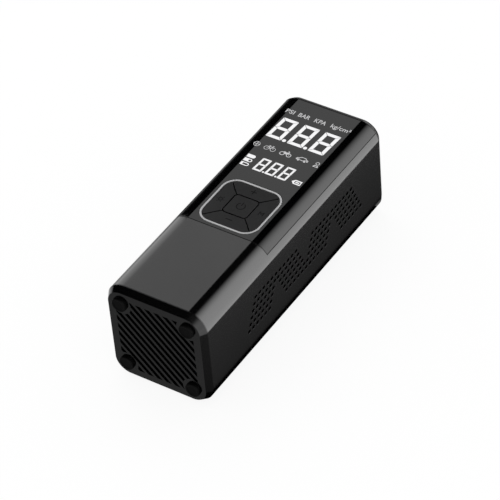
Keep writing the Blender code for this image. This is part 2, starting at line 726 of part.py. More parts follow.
# ---------------------------------------------------------------- display and keypad
def display_panel():
    wrap = PANEL_WRAP - GAP / (EDGE_RADIUS - PANEL_THICKNESS)
    panel = panel_band('display_panel', 0.0, PANEL_THICKNESS, PANEL_AT + GAP, HOUSING_END, wrap)
    opening_size = RING_SIZE + 2 * GAP
    opening = slab('keypad_opening', [rounded(opening_size, opening_size, RING_RADIUS + GAP)], 2 * WALL)
    cut(panel, place(opening, (0.0, along(KEYPAD_AT), BODY_HEIGHT)))
    return finish(panel, 'panel_gloss')


def light_ring():
    """The light guide round the keypad, from the board up to the face of the panel."""
    inner_size = RING_SIZE - 2 * RING_WIDTH
    loops = [
        rounded(RING_SIZE, RING_SIZE, RING_RADIUS),
        rounded(inner_size, inner_size, RING_RADIUS - RING_WIDTH)]
    foot = BOARD_TOP + GAP
    ring = slab('light_ring', loops, BODY_HEIGHT - foot)
    place(ring, (0.0, along(KEYPAD_AT), (BODY_HEIGHT + foot) / 2))
    return finish(ring, 'ring_white')


def pad_blank(name):
    """The full pad, from which each key is cut."""
    size = RING_SIZE - 2 * RING_WIDTH - 2 * GAP
    return slab(name, [rounded(size, size, RING_RADIUS - RING_WIDTH - GAP)], KEY_THICKNESS)


def key_places():
    """Name, and direction from the middle of the pad, of each outer key."""
    return (('key_plus', 90), ('key_minus', 270), ('key_mode', 0), ('key_lamp', 180))


def keys():
    level = BODY_HEIGHT - KEY_DROP - KEY_THICKNESS / 2
    middle = (0.0, along(KEYPAD_AT), level)
    face = rounded(POWER_KEY_SIZE, POWER_KEY_SIZE, POWER_KEY_RADIUS, SMALL_CORNER_STEPS)
    power = slab('key_power', [face], KEY_THICKNESS)
    join(power, key_stem('power_stem', (0.0, 0.0)))
    finish(place(power, middle), 'key_plastic')
    parent_to(power, 'power_stem')
    for name, degrees in key_places():
        key = pad_blank(name)
        heading = math.radians(degrees)
        quarter = box(f'{name}_quarter', (RING_SIZE, RING_SIZE, 4 * KEY_THICKNESS))
        place(quarter, (0.0, 0.0, 0.0), (0.0, 0.0, heading + math.pi / 4))
        shift = RING_SIZE / math.sqrt(2) + GAP / math.sqrt(2)
        quarter.location = (shift * math.cos(heading), shift * math.sin(heading), 0.0)
        keep_inside(key, quarter)
        hole_size = POWER_KEY_SIZE + 2 * GAP
        edge = rounded(hole_size, hole_size, POWER_KEY_RADIUS + GAP, SMALL_CORNER_STEPS)
        hole = slab(f'{name}_hole', [edge], 2 * KEY_THICKNESS)
        cut(key, hole)
        stem = key_stem(f'{name}_stem', (KEY_REACH * math.cos(heading), KEY_REACH * math.sin(heading)))
        join(key, stem)
        for helper in (quarter, hole, stem):
            helper.parent = key
        finish(place(key, middle), 'key_plastic')


def parent_to(item, helper_name):
    bpy.data.objects[helper_name].parent = item


def key_stem(name, spot):
    """The stem under a key that pushes into its switch, drawn about the middle of the pad."""
    key_bottom = BODY_HEIGHT - KEY_DROP - KEY_THICKNESS
    tip = BOARD_TOP + 2 * GAP + KEY_TRAVEL + GAP
    top = -KEY_THICKNESS / 4
    bottom = -KEY_THICKNESS / 2 - (key_bottom - tip)
    return cylinder(name, STEM_RADIUS, top - bottom, (*spot, (top + bottom) / 2), FLAT, SCREW_STEPS)


def switches():
    """A tactile switch under each key, open at the top for the stem."""
    spots = [('switch_power', 0.0, 0.0)]
    for name, degrees in key_places():
        heading = math.radians(degrees)
        spots.append((name.replace('key', 'switch'), *at_angle(KEY_REACH, heading)))
    foot = BOARD_TOP + GAP
    for name, across, up in spots:
        seat = (across, along(KEYPAD_AT) + up, foot + SWITCH_HEIGHT / 2)
        switch = box(name, (SWITCH_SIZE, SWITCH_SIZE, SWITCH_HEIGHT), seat)
        bore_seat = (seat[0], seat[1], foot + GAP + SWITCH_HEIGHT / 2)
        cut(switch, cylinder(f'{name}_bore', STEM_RADIUS + GAP, SWITCH_HEIGHT, bore_seat, FLAT, SCREW_STEPS))
        finish(switch, 'inner_plastic', smooth=False)


def main_board():
    outline = rounded(BOARD_WIDTH, BOARD_LENGTH, BOARD_CORNER, SMALL_CORNER_STEPS)
    board = slab('main_board', [outline], BOARD_THICKNESS)
    place(board, (0.0, along(BOARD_AT + BOARD_LENGTH / 2), (BOARD_TOP + BOARD_BOTTOM) / 2))
    tongue_length = 2 * SPIGOT_DEPTH
    tongue_y = along(BOARD_AT + BOARD_LENGTH)
    tongue_seat = (0.0, tongue_y, (BOARD_TOP + BOARD_BOTTOM) / 2)
    join(board, box('board_tongue', (BOARD_TONGUE_WIDTH, tongue_length, BOARD_THICKNESS), tongue_seat))
    for name, across, distance in board_posts():
        hole = (across, along(distance), BOARD_TOP)
        hole_length = 4 * BOARD_THICKNESS
        cut(board, cylinder(f'board_hole_{name}', BOARD_BORE_RADIUS, hole_length, hole, FLAT, TINY_STEPS))
    return finish(board, 'board_green', smooth=False)


def board_screws():
    """Screws that hold the board up against its posts."""
    length = BOARD_SCREW_LENGTH
    profile = [
        (0.0, length), (BOARD_SCREW_RADIUS, length), (BOARD_SCREW_RADIUS, 0.0),
        (BOARD_SCREW_HEAD, 0.0), (BOARD_SCREW_HEAD, -BOARD_SCREW_HEAD_HEIGHT),
        (0.0, -BOARD_SCREW_HEAD_HEIGHT)]
    for name, across, distance in board_posts():
        screw = turned(f'board_screw_{name}', profile, steps=TINY_STEPS)
        place(screw, (across, along(distance), BOARD_BOTTOM - GAP))
        finish(screw, 'zinc_screw')


def display_module():
    foot = BOARD_TOP + GAP
    head = PANEL_BOTTOM - GAP
    middle = (0.0, along(DISPLAY_AT + DISPLAY_LENGTH / 2), (foot + head) / 2)
    module = box('display_module', (DISPLAY_WIDTH, DISPLAY_LENGTH, head - foot), middle)
    return finish(module, 'display_white', smooth=False)


def pressure_sensor():
    """The sensor under the board, with its nipple."""
    top = BOARD_BOTTOM - GAP
    spot = (-BOARD_WIDTH / 4, along(BOARD_AT + BOARD_LENGTH - 2 * SENSOR_SIZE))
    middle = (*spot, top - SENSOR_HEIGHT / 2)
    sensor = box('pressure_sensor', (SENSOR_SIZE, SENSOR_SIZE, SENSOR_HEIGHT), middle)
    nipple = (*spot, top - 1.5 * SENSOR_HEIGHT + GAP)
    join(sensor, cylinder('sensor_nipple', NIPPLE_RADIUS, SENSOR_HEIGHT, nipple))
    return finish(sensor, 'inner_plastic')


# ---------------------------------------------------------------- battery
def cell_places():
    return (
        ('battery_cell_left', -CELL_PITCH / 2, CELL_LOW_Z),
        ('battery_cell_right', CELL_PITCH / 2, CELL_LOW_Z),
        ('battery_cell_top', 0.0, CELL_HIGH_Z))


def battery_cells():
    neck = CELL_RADIUS - CELL_NECK_DEPTH
    shoulder = CELL_LENGTH - CELL_CRIMP
    profile = [
        (0.0, CELL_LENGTH), (CELL_BUTTON_RADIUS, CELL_LENGTH), (CELL_BUTTON_RADIUS, shoulder),
        (neck, shoulder), (CELL_RADIUS, shoulder - CELL_CRIMP), (CELL_RADIUS, 0.0), (0.0, 0.0)]
    start = HOLDER_AT + GAP + STRIP_THICKNESS
    for name, across, height in cell_places():
        cell = turned(name, profile)
        place(cell, (across, along(start), height), ALONG_Y)
        finish(cell, 'cell_wrap')


def holder_outline(radius):
    """Rounded triangle round the three cells, about the middle of the lower two."""
    corners = ((CELL_PITCH / 2, 0.0, -90), (0.0, CELL_HIGH_Z - CELL_LOW_Z, 30), (-CELL_PITCH / 2, 0.0, 150))
    points = []
    for across, up, start in corners:
        points += arc((across, up), radius, math.radians(start), math.radians(start + 120), 5)
    return points


def battery_holder():
    """A tray with a collar at each end; the cells lie in three bores."""
    start, end = HOLDER_AT + STRIP_THICKNESS + GAP, HOLDER_AT + HOLDER_LENGTH - STRIP_THICKNESS - GAP
    loops = [holder_outline(HOLDER_RADIUS)]
    for _, across, height in cell_places():
        loops.append(circle(CELL_BORE, (across, height - CELL_LOW_Z)))
    holder = section('battery_holder', loops, start, end, (0.0, CELL_LOW_Z))
    opening = (4 * HOLDER_RADIUS, end - start - 2 * HOLDER_COLLAR, 4 * HOLDER_RADIUS)
    tray_top = CELL_LOW_Z - CELL_RADIUS / 3
    middle = (0.0, along((start + end) / 2), tray_top + 2 * HOLDER_RADIUS)
    cut(holder, box('holder_opening', opening, middle))
    return finish(holder, 'inner_plastic')


def battery_strips():
    """Nickel strips that tie the cells together at both ends of the pack."""
    for name, distance in (('front', HOLDER_AT), ('rear', HOLDER_AT + HOLDER_LENGTH - STRIP_THICKNESS)):
        outline = holder_outline(CELL_RADIUS / 2)
        end = distance + STRIP_THICKNESS
        strip = section(f'battery_strip_{name}', [outline], distance, end, (0.0, CELL_LOW_Z))
        finish(strip, 'nickel', smooth=False)


# ---------------------------------------------------------------- motor
def motor_can():
    """A steel cup, closed at the gear end except for the hole of its shaft."""
    bore = SHAFT_RADIUS + GAP
    inner = MOTOR_RADIUS - MOTOR_WALL
    front = MOTOR_LENGTH
    nose = front + MOTOR_BOSS_LENGTH
    profile = [
        (bore, nose), (MOTOR_BOSS_RADIUS, nose), (MOTOR_BOSS_RADIUS, front), (MOTOR_RADIUS, front),
        (MOTOR_RADIUS, 0.0), (inner, 0.0), (inner, front - MOTOR_WALL), (bore, front - MOTOR_WALL)]
    can = turned('motor_can', profile, closed=True)
    place(can, (MOTOR_X, along(MOTOR_AT), MOTOR_Z), ALONG_Y)
    return finish(can, 'steel')


def motor_end_cap():
    """The plastic end of the motor, with the rear bearing."""
    bore = SHAFT_RADIUS + GAP
    fit = MOTOR_RADIUS - MOTOR_WALL - GAP
    back = -END_CAP_THICKNESS
    profile = [
        (bore, END_CAP_DEPTH), (fit, END_CAP_DEPTH), (fit, -GAP), (MOTOR_RADIUS, -GAP), (MOTOR_RADIUS, back),
        (bore, back)]
    cap = turned('motor_end_cap', profile, closed=True)
    place(cap, (MOTOR_X, along(MOTOR_AT), MOTOR_Z), ALONG_Y)
    return finish(cap, 'inner_plastic')


def motor_magnet():
    """A ring magnet inside the can."""
    outer = MOTOR_RADIUS - MOTOR_WALL - GAP
    start = armature_start()
    loops = [circle(outer), circle(outer - MAGNET_THICKNESS)]
    magnet = section('motor_magnet', loops, start, start + ARMATURE_LENGTH, (MOTOR_X, MOTOR_Z))
    return finish(magnet, 'magnet')


def armature_start():
    return MOTOR_AT + MOTOR_LENGTH - MOTOR_WALL - RUNNING_GAP - ARMATURE_LENGTH - GAP


def armature_radius():
    return MOTOR_RADIUS - MOTOR_WALL - GAP - MAGNET_THICKNESS - ARMATURE_GAP


def armature_outline():
    """Three T-shaped poles round a hub."""
    radius = armature_radius()
    shoe = radius - POLE_SHOE_THICKNESS
    points = []
    for pole in range(POLES):
        heading = math.tau * pole / POLES
        first, last = heading - POLE_SHOE_HALF, heading + POLE_SHOE_HALF
        points.append(at_angle(POLE_HUB_RADIUS, heading - POLE_NECK_AT_HUB))
        points += arc((0, 0), shoe, heading - POLE_NECK_AT_SHOE, first, 2)
        points += arc((0, 0), radius, first, last, 6)
        points += arc((0, 0), shoe, last, heading + POLE_NECK_AT_SHOE, 2)
        points.append(at_angle(POLE_HUB_RADIUS, heading + POLE_NECK_AT_HUB))
    return points


def motor_armature():
    start = armature_start()
    loops = [armature_outline(), circle(SHAFT_RADIUS + GAP)]
    core = section('motor_armature', loops, start, start + ARMATURE_LENGTH, (MOTOR_X, MOTOR_Z))
    return finish(core, 'steel', smooth=False)


def motor_shaft():
    start = MOTOR_AT - GAP
    shaft = cylinder('motor_shaft', SHAFT_RADIUS, GEAR_END - start)
    place(shaft, (MOTOR_X, along((start + GEAR_END) / 2), MOTOR_Z), ALONG_Y)
    return finish(shaft, 'steel')


# ---------------------------------------------------------------- gears, crank and pump
def tooth_half_angle(teeth, radius):
    """Half the angle that an involute tooth takes up at a radius, with the backlash taken off."""
    pitch = TOOTH_MODULE * teeth / 2
    base = pitch * math.cos(PRESSURE_ANGLE)
    at_radius = math.acos(min(1.0, base / radius))     # the flank is radial below the base circle
    involute = math.tan(PRESSURE_ANGLE) - PRESSURE_ANGLE - (math.tan(at_radius) - at_radius)
    return math.pi / 2 / teeth + involute - GEAR_BACKLASH / 2 / pitch


def gear_outline(teeth, first_tooth):
    """Teeth with a root point and a tip point on each flank."""
    pitch = TOOTH_MODULE * teeth / 2
    radii = (pitch - ROOT_DEPTH * TOOTH_MODULE, pitch + TIP_HEIGHT * TOOTH_MODULE)
    flank = [(radius, tooth_half_angle(teeth, radius)) for radius in radii]
    points = []
    for tooth in range(teeth):
        middle = first_tooth + math.tau * tooth / teeth
        points += [at_angle(radius, middle - half) for radius, half in flank]
        points += [at_angle(radius, middle + half) for radius, half in reversed(flank)]
    return points


def line_of_centres():
    """Direction from the gear's axis to the motor's axis, in the plane of the section."""
    return math.atan2(MOTOR_Z - GEAR_Z, MOTOR_X - GEAR_X)


def pinion():
    heading = line_of_centres() + math.pi
    loops = [gear_outline(PINION_TEETH, heading), circle(SHAFT_RADIUS + GAP)]
    return finish(section('pinion', loops, GEAR_AT, GEAR_END, (MOTOR_X, MOTOR_Z)), 'brass', smooth=False)


def crank_gear():
    heading = line_of_centres() + math.pi / GEAR_TEETH
    loops = [gear_outline(GEAR_TEETH, heading), circle(AXLE_RADIUS + GAP, steps=SEEN_STEPS)]
    gear = section('crank_gear', loops, GEAR_AT, GEAR_END, (GEAR_X, GEAR_Z))
    return finish(gear, 'gear_nylon', smooth=False)


def gear_axle():
    start, end = PLATE_AT, GEAR_END - GAP
    axle = cylinder('gear_axle', AXLE_RADIUS, end - start, steps=SEEN_STEPS)
    place(axle, (GEAR_X, along((start + end) / 2), GEAR_Z), ALONG_Y)
    return finish(axle, 'steel')


def pump_frame():
    """A plate across the body that carries the motor and the gear, with a collar for the cylinder."""
    top = BOARD_BOTTOM - RUNNING_GAP
    frame = section('pump_frame', [body_outline(WALL + GAP)], PLATE_AT, PLATE_END)
    over = BODY_HEIGHT - top
    cut(frame, box('plate_top', (BODY_WIDTH, WALL * 4, over), (0.0, along(PLATE_AT), top + over / 2)))
    collar_end = PUMP_AT + FIN_RADIUS
    collar_start = PLATE_END - PLATE_THICKNESS / 2
    collar = box('cylinder_collar', (COLLAR_THICKNESS, collar_end - collar_start, 2 * FIN_RADIUS))
    place(collar, (COLLAR_X + COLLAR_THICKNESS / 2, along((collar_start + collar_end) / 2), GEAR_Z))
    join(frame, collar)
    collar_bore = (COLLAR_X, along(PUMP_AT), GEAR_Z)
    cut(frame, cylinder('collar_bore', CYLINDER_RADIUS + GAP, 4 * COLLAR_THICKNESS, collar_bore, ALONG_X))
    motor_seat = (MOTOR_X, along(PLATE_AT), MOTOR_Z)
    cut(frame, cylinder('motor_seat', MOTOR_BOSS_RADIUS + GAP, 4 * PLATE_THICKNESS, motor_seat, ALONG_Y))
    axle_seat = (GEAR_X, along(PLATE_AT), GEAR_Z)
    cut(frame, cylinder('axle_seat', AXLE_RADIUS + GAP, 4 * PLATE_THICKNESS, axle_seat, ALONG_Y, SEEN_STEPS))
    return finish(frame, 'aluminium')


def rod_outline():
    """Outline of the rod about its wrist end; the big end lies at -X."""
    big, small = CRANK_PIN_RADIUS + GAP + BIG_END_WALL, WRIST_PIN_RADIUS + GAP + SMALL_END_WALL
    big_angle, small_angle = math.asin(ROD_HALF_WIDTH / big), math.asin(ROD_HALF_WIDTH / small)
    outline = arc((-ROD_LENGTH, 0.0), big, big_angle, math.tau - big_angle, 14)
    return outline + arc((0.0, 0.0), small, -math.pi + small_angle, math.pi - small_angle, 12)


def connecting_rod():
    """The rod swings about the pin of the piston, so its origin lies on that pin."""
    loops = [
        rod_outline(),
        circle(CRANK_PIN_RADIUS + GAP, (-ROD_LENGTH, 0.0)),
        circle(WRIST_PIN_RADIUS + GAP)]
    rod = slab('connecting_rod', loops, ROD_THICKNESS)
    place(rod, (WRIST_X, along(PUMP_AT), GEAR_Z), SECTION)
    return finish(rod, 'aluminium')


def crank_pin():
    """The pin in the big end; it stops just short of the gear, where the linkage is open."""
    start, end = GEAR_END + GAP, PUMP_AT + ROD_THICKNESS / 2 + 2 * GAP
    pin = cylinder('crank_pin', CRANK_PIN_RADIUS, end - start)
    place(pin, (WRIST_X - ROD_LENGTH, along((start + end) / 2), GEAR_Z), ALONG_Y)
    return finish(pin, 'steel')


def piston():
    groove_top = CROWN_ABOVE_PIN - RING_GROOVE_HEIGHT / 2
    groove_bottom = groove_top - RING_GROOVE_HEIGHT
    groove = PISTON_RADIUS - RING_GROOVE_DEPTH
    hollow = PISTON_RADIUS - PISTON_WALL
    roof = CROWN_ABOVE_PIN - CROWN_THICKNESS
    profile = [
        (0.0, CROWN_ABOVE_PIN), (PISTON_RADIUS, CROWN_ABOVE_PIN), (PISTON_RADIUS, groove_top),
        (groove, groove_top), (groove, groove_bottom), (PISTON_RADIUS, groove_bottom),
        (PISTON_RADIUS, -SKIRT_BELOW_PIN),
        (hollow, -SKIRT_BELOW_PIN), (hollow, roof), (0.0, roof)]
    body = turned('piston', profile)
    place(body, (WRIST_X, along(PUMP_AT), GEAR_Z), ALONG_X)
    pin_seat = (WRIST_X, along(PUMP_AT), GEAR_Z)
    cut(body, cylinder('wrist_bore', WRIST_PIN_RADIUS + GAP, 4 * PISTON_RADIUS, pin_seat, ALONG_Y))
    return finish(body, 'aluminium')


def wrist_pin():
    length = 2 * (PISTON_RADIUS - GAP)
    pin = cylinder('wrist_pin', WRIST_PIN_RADIUS, length, (WRIST_X, along(PUMP_AT), GEAR_Z), ALONG_Y)
    return finish(pin, 'steel')


def piston_ring():
    top = CROWN_ABOVE_PIN - RING_GROOVE_HEIGHT / 2 - GAP
    bottom = CROWN_ABOVE_PIN - 1.5 * RING_GROOVE_HEIGHT + GAP
    inner = PISTON_RADIUS - RING_GROOVE_DEPTH + GAP
    outer = PISTON_RADIUS
    ring = turned('piston_ring', [(inner, top), (outer, top), (outer, bottom), (inner, bottom)], closed=True)
    place(ring, (WRIST_X, along(PUMP_AT), GEAR_Z), ALONG_X)
    return finish(ring, 'seal')


def pump_cylinder():
    """A bore with cooling fins beyond the collar."""
    height = CYLINDER_END - CYLINDER_X
    fins_from = COLLAR_X + COLLAR_THICKNESS + GAP - CYLINDER_X
    pitch = (height - fins_from - FIN_THICKNESS) / (FIN_COUNT - 1)
    profile = [(CYLINDER_BORE, height)]
    for fin in reversed(range(FIN_COUNT)):
        bottom = fins_from + fin * pitch
        profile += [(FIN_RADIUS, bottom + FIN_THICKNESS), (FIN_RADIUS, bottom)]
        if fin:
            profile += [(CYLINDER_RADIUS, bottom), (CYLINDER_RADIUS, bottom - pitch + FIN_THICKNESS)]
    profile += [(CYLINDER_RADIUS, fins_from), (CYLINDER_RADIUS, 0.0), (CYLINDER_BORE, 0.0)]
    tube = turned('pump_cylinder', profile, closed=True)
    place(tube, (CYLINDER_X, along(PUMP_AT), GEAR_Z), ALONG_X)
    return finish(tube, 'aluminium')


def valve_plate():
    """Thin plate with two ports between the cylinder and its head."""
    ports = [circle(VALVE_PORT_RADIUS, (0.0, side * PISTON_RADIUS / 2), SCREW_STEPS) for side in (-1, 1)]
    plate = slab('valve_plate', [circle(FIN_RADIUS)] + ports, VALVE_PLATE_THICKNESS)
    place(plate, (VALVE_X + VALVE_PLATE_THICKNESS / 2, along(PUMP_AT), GEAR_Z), ALONG_X)
    return finish(plate, 'steel', smooth=False)


def cylinder_head():
    """Cast head with straight fins and the outlet nipple that looks along the body."""
    middle = (HEAD_X + HEAD_HEIGHT / 2, along(PUMP_AT), GEAR_Z)
    head = cylinder('cylinder_head', FIN_RADIUS, HEAD_HEIGHT, middle, ALONG_X)
    pitch = (2 * FIN_RADIUS - FIN_THICKNESS) / (HEAD_FINS - 1)
    for groove in range(HEAD_FINS - 1):
        up = -FIN_RADIUS + FIN_THICKNESS + groove * pitch + (pitch - FIN_THICKNESS) / 2
        size = (HEAD_HEIGHT, 4 * FIN_RADIUS, pitch - FIN_THICKNESS)
        seat = (HEAD_X + HEAD_BASE + HEAD_HEIGHT / 2, along(PUMP_AT), GEAR_Z + up)
        cut(head, box(f'head_groove_{groove}', size, seat))
    nipple_length = OUTLET_LENGTH + FIN_RADIUS / 2
    nipple_y = along(PUMP_AT) + FIN_RADIUS / 2 + nipple_length / 2
    nipple = (HEAD_X + HEAD_BASE / 2, nipple_y, GEAR_Z)
    join(head, cylinder('head_outlet', OUTLET_RADIUS, nipple_length, nipple, ALONG_Y))
    return finish(head, 'aluminium')


def air_hose():
    """Silicone hose from the head to the barb of the socket, eased from one line to the other."""
    start_y, end_y = along(HOSE_START), along(HOSE_END)
    start_x, end_x = HEAD_X + HEAD_BASE / 2, SOCKET_SIDE
    run = HOSE_RADIUS
    route = [(start_x, start_y)]
    for index in range(HOSE_STEPS + 1):
        share = index / HOSE_STEPS
        ease = share * share * (3 - 2 * share)
        reach = run + (end_y - start_y - 2 * run) * share
        route.append((start_x + (end_x - start_x) * ease, start_y + reach))
    route.append((end_x, end_y))
    curve = bpy.data.curves.new('air_hose', 'CURVE')
    curve.dimensions = '3D'
    curve.bevel_depth = HOSE_RADIUS
    curve.bevel_resolution = 2
    curve.use_fill_caps = True
    spline = curve.splines.new('POLY')
    spline.points.add(len(route) - 1)
    for point, (x, y) in zip(spline.points, route):
        point.co = (x, y, GEAR_Z, 1.0)
    hose = bpy.data.objects.new('air_hose', curve)
    PARTS.objects.link(hose)
    curve.materials.append(MATERIALS['hose_silicone'])
    return hose


# ---------------------------------------------------------------- hose end fittings
def hose_socket():
    """Brass socket with an open bore for the hose's plug and a barb for the inner hose."""
    face = 0.0
    flange = -SOCKET_FLANGE_HEIGHT
    foot = flange - SOCKET_DEPTH
    floor = foot + SOCKET_FLOOR
    tip = foot - BARB_LENGTH
    profile = [
        (SOCKET_BORE, face), (SOCKET_FLANGE, face), (SOCKET_FLANGE, flange), (SOCKET_RADIUS, flange),
        (SOCKET_RADIUS, foot), (BARB_RADIUS, foot), (BARB_RADIUS, tip), (0.0, tip)]
    socket = turned('hose_socket', [(0.0, floor), (SOCKET_BORE, floor)] + profile, steps=SEEN_STEPS)
    place(socket, (SOCKET_SIDE, along(BODY_LENGTH - GAP), FITTING_Z), ALONG_Y)
    return finish(socket, 'brass')


def socket_nut():
    radius = NUT_ACROSS / 2 / math.cos(math.pi / NUT_SIDES)
    seat_end = BODY_LENGTH - REAR_DEPTH - GAP
    loops = [circle(radius, steps=NUT_SIDES), circle(SOCKET_RADIUS + GAP, steps=SEEN_STEPS)]
    nut = section('socket_nut', loops, seat_end - NUT_THICKNESS, seat_end, (SOCKET_SIDE, FITTING_Z))
    return finish(nut, 'brass', smooth=False)


def lamp_lens():
    """A clear lens, held from behind by its flange."""
    flange_at = -REAR_DEPTH
    low = flange_at - LAMP_FLANGE + GAP
    profile = [
        (0.0, -GAP), (LAMP_RADIUS * 0.6, -GAP - LAMP_DOME / 3), (LAMP_RADIUS, -GAP - LAMP_DOME),
        (LAMP_RADIUS, flange_at - GAP),
        (LAMP_RADIUS + LAMP_FLANGE, flange_at - GAP), (LAMP_RADIUS + LAMP_FLANGE, low - GAP),
        (0.0, low - GAP)]
    lens = turned('lamp_lens', profile, steps=SEEN_STEPS)
    place(lens, (LAMP_SIDE, along(BODY_LENGTH), FITTING_Z), ALONG_Y)
    return finish(lens, 'lens_clear')


def lamp_reflector():
    """A bright cup behind the lens."""
    rim = LAMP_RADIUS + LAMP_FLANGE
    throat = REFLECTOR_THROAT
    profile = [
        (rim - REFLECTOR_WALL, 0.0), (rim, 0.0), (throat + REFLECTOR_WALL, -REFLECTOR_DEPTH),
        (throat, -REFLECTOR_DEPTH)]
    cup = turned('lamp_reflector', profile, closed=True, steps=SEEN_STEPS)
    place(cup, (LAMP_SIDE, along(BODY_LENGTH - REAR_DEPTH - LAMP_FLANGE - 2 * GAP), FITTING_Z), ALONG_Y)
    return finish(cup, 'aluminium')


def lamp_led():
    """The lamp's small round board with its light source."""
    top = BODY_LENGTH - REAR_DEPTH - LAMP_FLANGE - 3 * GAP - REFLECTOR_DEPTH
    profile = [
        (0.0, LED_CHIP / 2), (LED_CHIP, LED_CHIP / 2), (LED_CHIP, 0.0), (LAMP_RADIUS, 0.0),
        (LAMP_RADIUS, -LED_BOARD_THICKNESS), (0.0, -LED_BOARD_THICKNESS)]
    led = turned('lamp_led', profile, steps=SEEN_STEPS)
    place(led, (LAMP_SIDE, along(top), FITTING_Z), ALONG_Y)
    return finish(led, 'display_white')


def usb_height():
    return BOARD_BOTTOM - GAP - USB_HEIGHT / 2


def usb_port():
    """Charging port: a flat steel shell with its tongue, under the end of the board."""
    end = BODY_LENGTH - GAP
    start = end - USB_LENGTH
    radius = USB_HEIGHT / 2 - GAP
    outer = rounded(USB_WIDTH, USB_HEIGHT, radius, SMALL_CORNER_STEPS)
    mouth = (USB_WIDTH - 2 * USB_WALL, USB_HEIGHT - 2 * USB_WALL)
    inner = rounded(*mouth, radius - USB_WALL, SMALL_CORNER_STEPS)
    seat = (0.0, usb_height())
    port = section('usb_port', [outer], start, end, seat)
    cut(port, section('port_mouth', [inner], start + 2 * USB_WALL, end + USB_LENGTH, seat))
    tongue_length = USB_LENGTH - 4 * USB_WALL
    tongue = (0.0, along(start + USB_WALL + tongue_length / 2), usb_height())
    join(port, box('port_tongue', (USB_TONGUE_WIDTH, tongue_length, USB_TONGUE_THICKNESS), tongue))
    return finish(port, 'steel', smooth=False)


def build():
    housing()
    front_cap()
    feet()
    cap_screws()
    rear_cap()
    display_panel()
    light_ring()
    keys()
    switches()
    main_board()
    board_screws()
    display_module()
    pressure_sensor()
    battery_cells()
    battery_holder()
    battery_strips()
    motor_can()
    motor_end_cap()
    motor_magnet()
    motor_armature()
    motor_shaft()
    pinion()
    crank_gear()
    gear_axle()
    pump_frame()
    connecting_rod()
    crank_pin()
    piston()
    wrist_pin()
    piston_ring()
    pump_cylinder()
    valve_plate()
    cylinder_head()
    air_hose()
    hose_socket()
    socket_nut()
    lamp_lens()
    lamp_reflector()
    lamp_led()
    usb_port()
    print('parts:', len(PARTS.objects))


build()
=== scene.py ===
"""Looks of the portable tire inflator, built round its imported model.

Metres, +Z up, in the frame of the CAD: the display looks up, the grille along -Y, the hose socket along +Y.
Distances, and sizes called ..._AT, are measured along the body from the face of the grille.
"""
from math import cos, radians, sin, sqrt, tau

import bmesh
import bpy
from mathutils import Matrix, Vector


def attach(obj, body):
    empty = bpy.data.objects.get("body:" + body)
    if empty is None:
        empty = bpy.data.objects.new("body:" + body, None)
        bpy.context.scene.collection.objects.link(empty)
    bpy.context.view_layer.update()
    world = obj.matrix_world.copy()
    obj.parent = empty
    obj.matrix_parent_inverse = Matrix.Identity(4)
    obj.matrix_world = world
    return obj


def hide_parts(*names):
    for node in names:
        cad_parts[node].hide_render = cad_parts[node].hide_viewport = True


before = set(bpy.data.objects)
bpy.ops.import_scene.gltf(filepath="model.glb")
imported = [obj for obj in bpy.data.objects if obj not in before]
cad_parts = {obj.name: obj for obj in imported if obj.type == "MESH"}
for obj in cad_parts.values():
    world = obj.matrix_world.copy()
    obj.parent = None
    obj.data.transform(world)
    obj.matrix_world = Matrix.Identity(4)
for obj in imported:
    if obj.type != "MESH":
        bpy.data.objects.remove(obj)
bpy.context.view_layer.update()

# ---------------- sizes, as in the CAD unless a note says otherwise
X, Y, Z = 0, 1, 2
WIDTH, HEIGHT, LENGTH = 0.06, 0.0605, 0.1735
MIDDLE_Z = HEIGHT / 2
FACE_Y = -0.0859
EDGE_RADIUS = 0.0108
FILLET_STEPS = 24
WALL = 0.0025
GAP = 0.0003
SEAM = 0.0001                   # the hairline that shows between two shells
PANEL_SEAM = 0.00025            # and round the display window, as dark as in the photo
CAP_DEPTH = 0.0037
CAP_INSET = 0.0022
REAR_DEPTH = 0.0026
REAR_INSET = 0.0013
SPIGOT_DEPTH = 0.004
SPIGOT_WALL = 0.0014
HOUSING_START = CAP_DEPTH + GAP
HOUSING_END = LENGTH - REAR_DEPTH - GAP
GRILLE_MARGIN = 0.0065
RIB_PITCH = 0.0039
RIB_WIDTH = 0.0016
RIB_SHIFT = 0.00037
FOOT_INSET = 0.0097
FOOT_RADIUS = 0.0042
FOOT_PROUD = 0.0017
FOOT_SEAT = 0.0012
FOOT_LAND = 0.0023
FOOT_RIM = 0.0011
HEAD_SEAT_RADIUS = 0.0032
HEAD_SEAT_DEPTH = 0.0033
SCREW_WAY_RADIUS = 0.0019
SCREW_POST_RADIUS = 0.0035
SCREW_POST_LENGTH = 0.0125
VENT_ROWS = 6
VENTS_PER_LEG = 6
VENT_LEGS = 4
VENT_PITCH = 0.00388
VENT_ROW_PITCH = 0.00355
VENT_ROW_SHIFT = 0.00164
VENT_LENGTH = 0.0023
VENT_HEIGHT = 0.0014
VENT_FIRST_PEAK_AT = 0.0666
VENT_FIRST_ROW_DROP = 0.02145
VENT_THROAT_DEPTH = 0.001
# The mouth of a slot, from its throat: way out, stretch along the body and stretch upwards. Not in the CAD
VENT_MOUTH = ((0.00091, 1.08, 1.62), (0.00009, 1.03, 1.05), (2 * GAP, 1.0, 1.0))
# The band of the slots' sides that gets the painted shade
VENT_BAND_HALF = 0.0125
VENT_BAND_REACH = 0.08
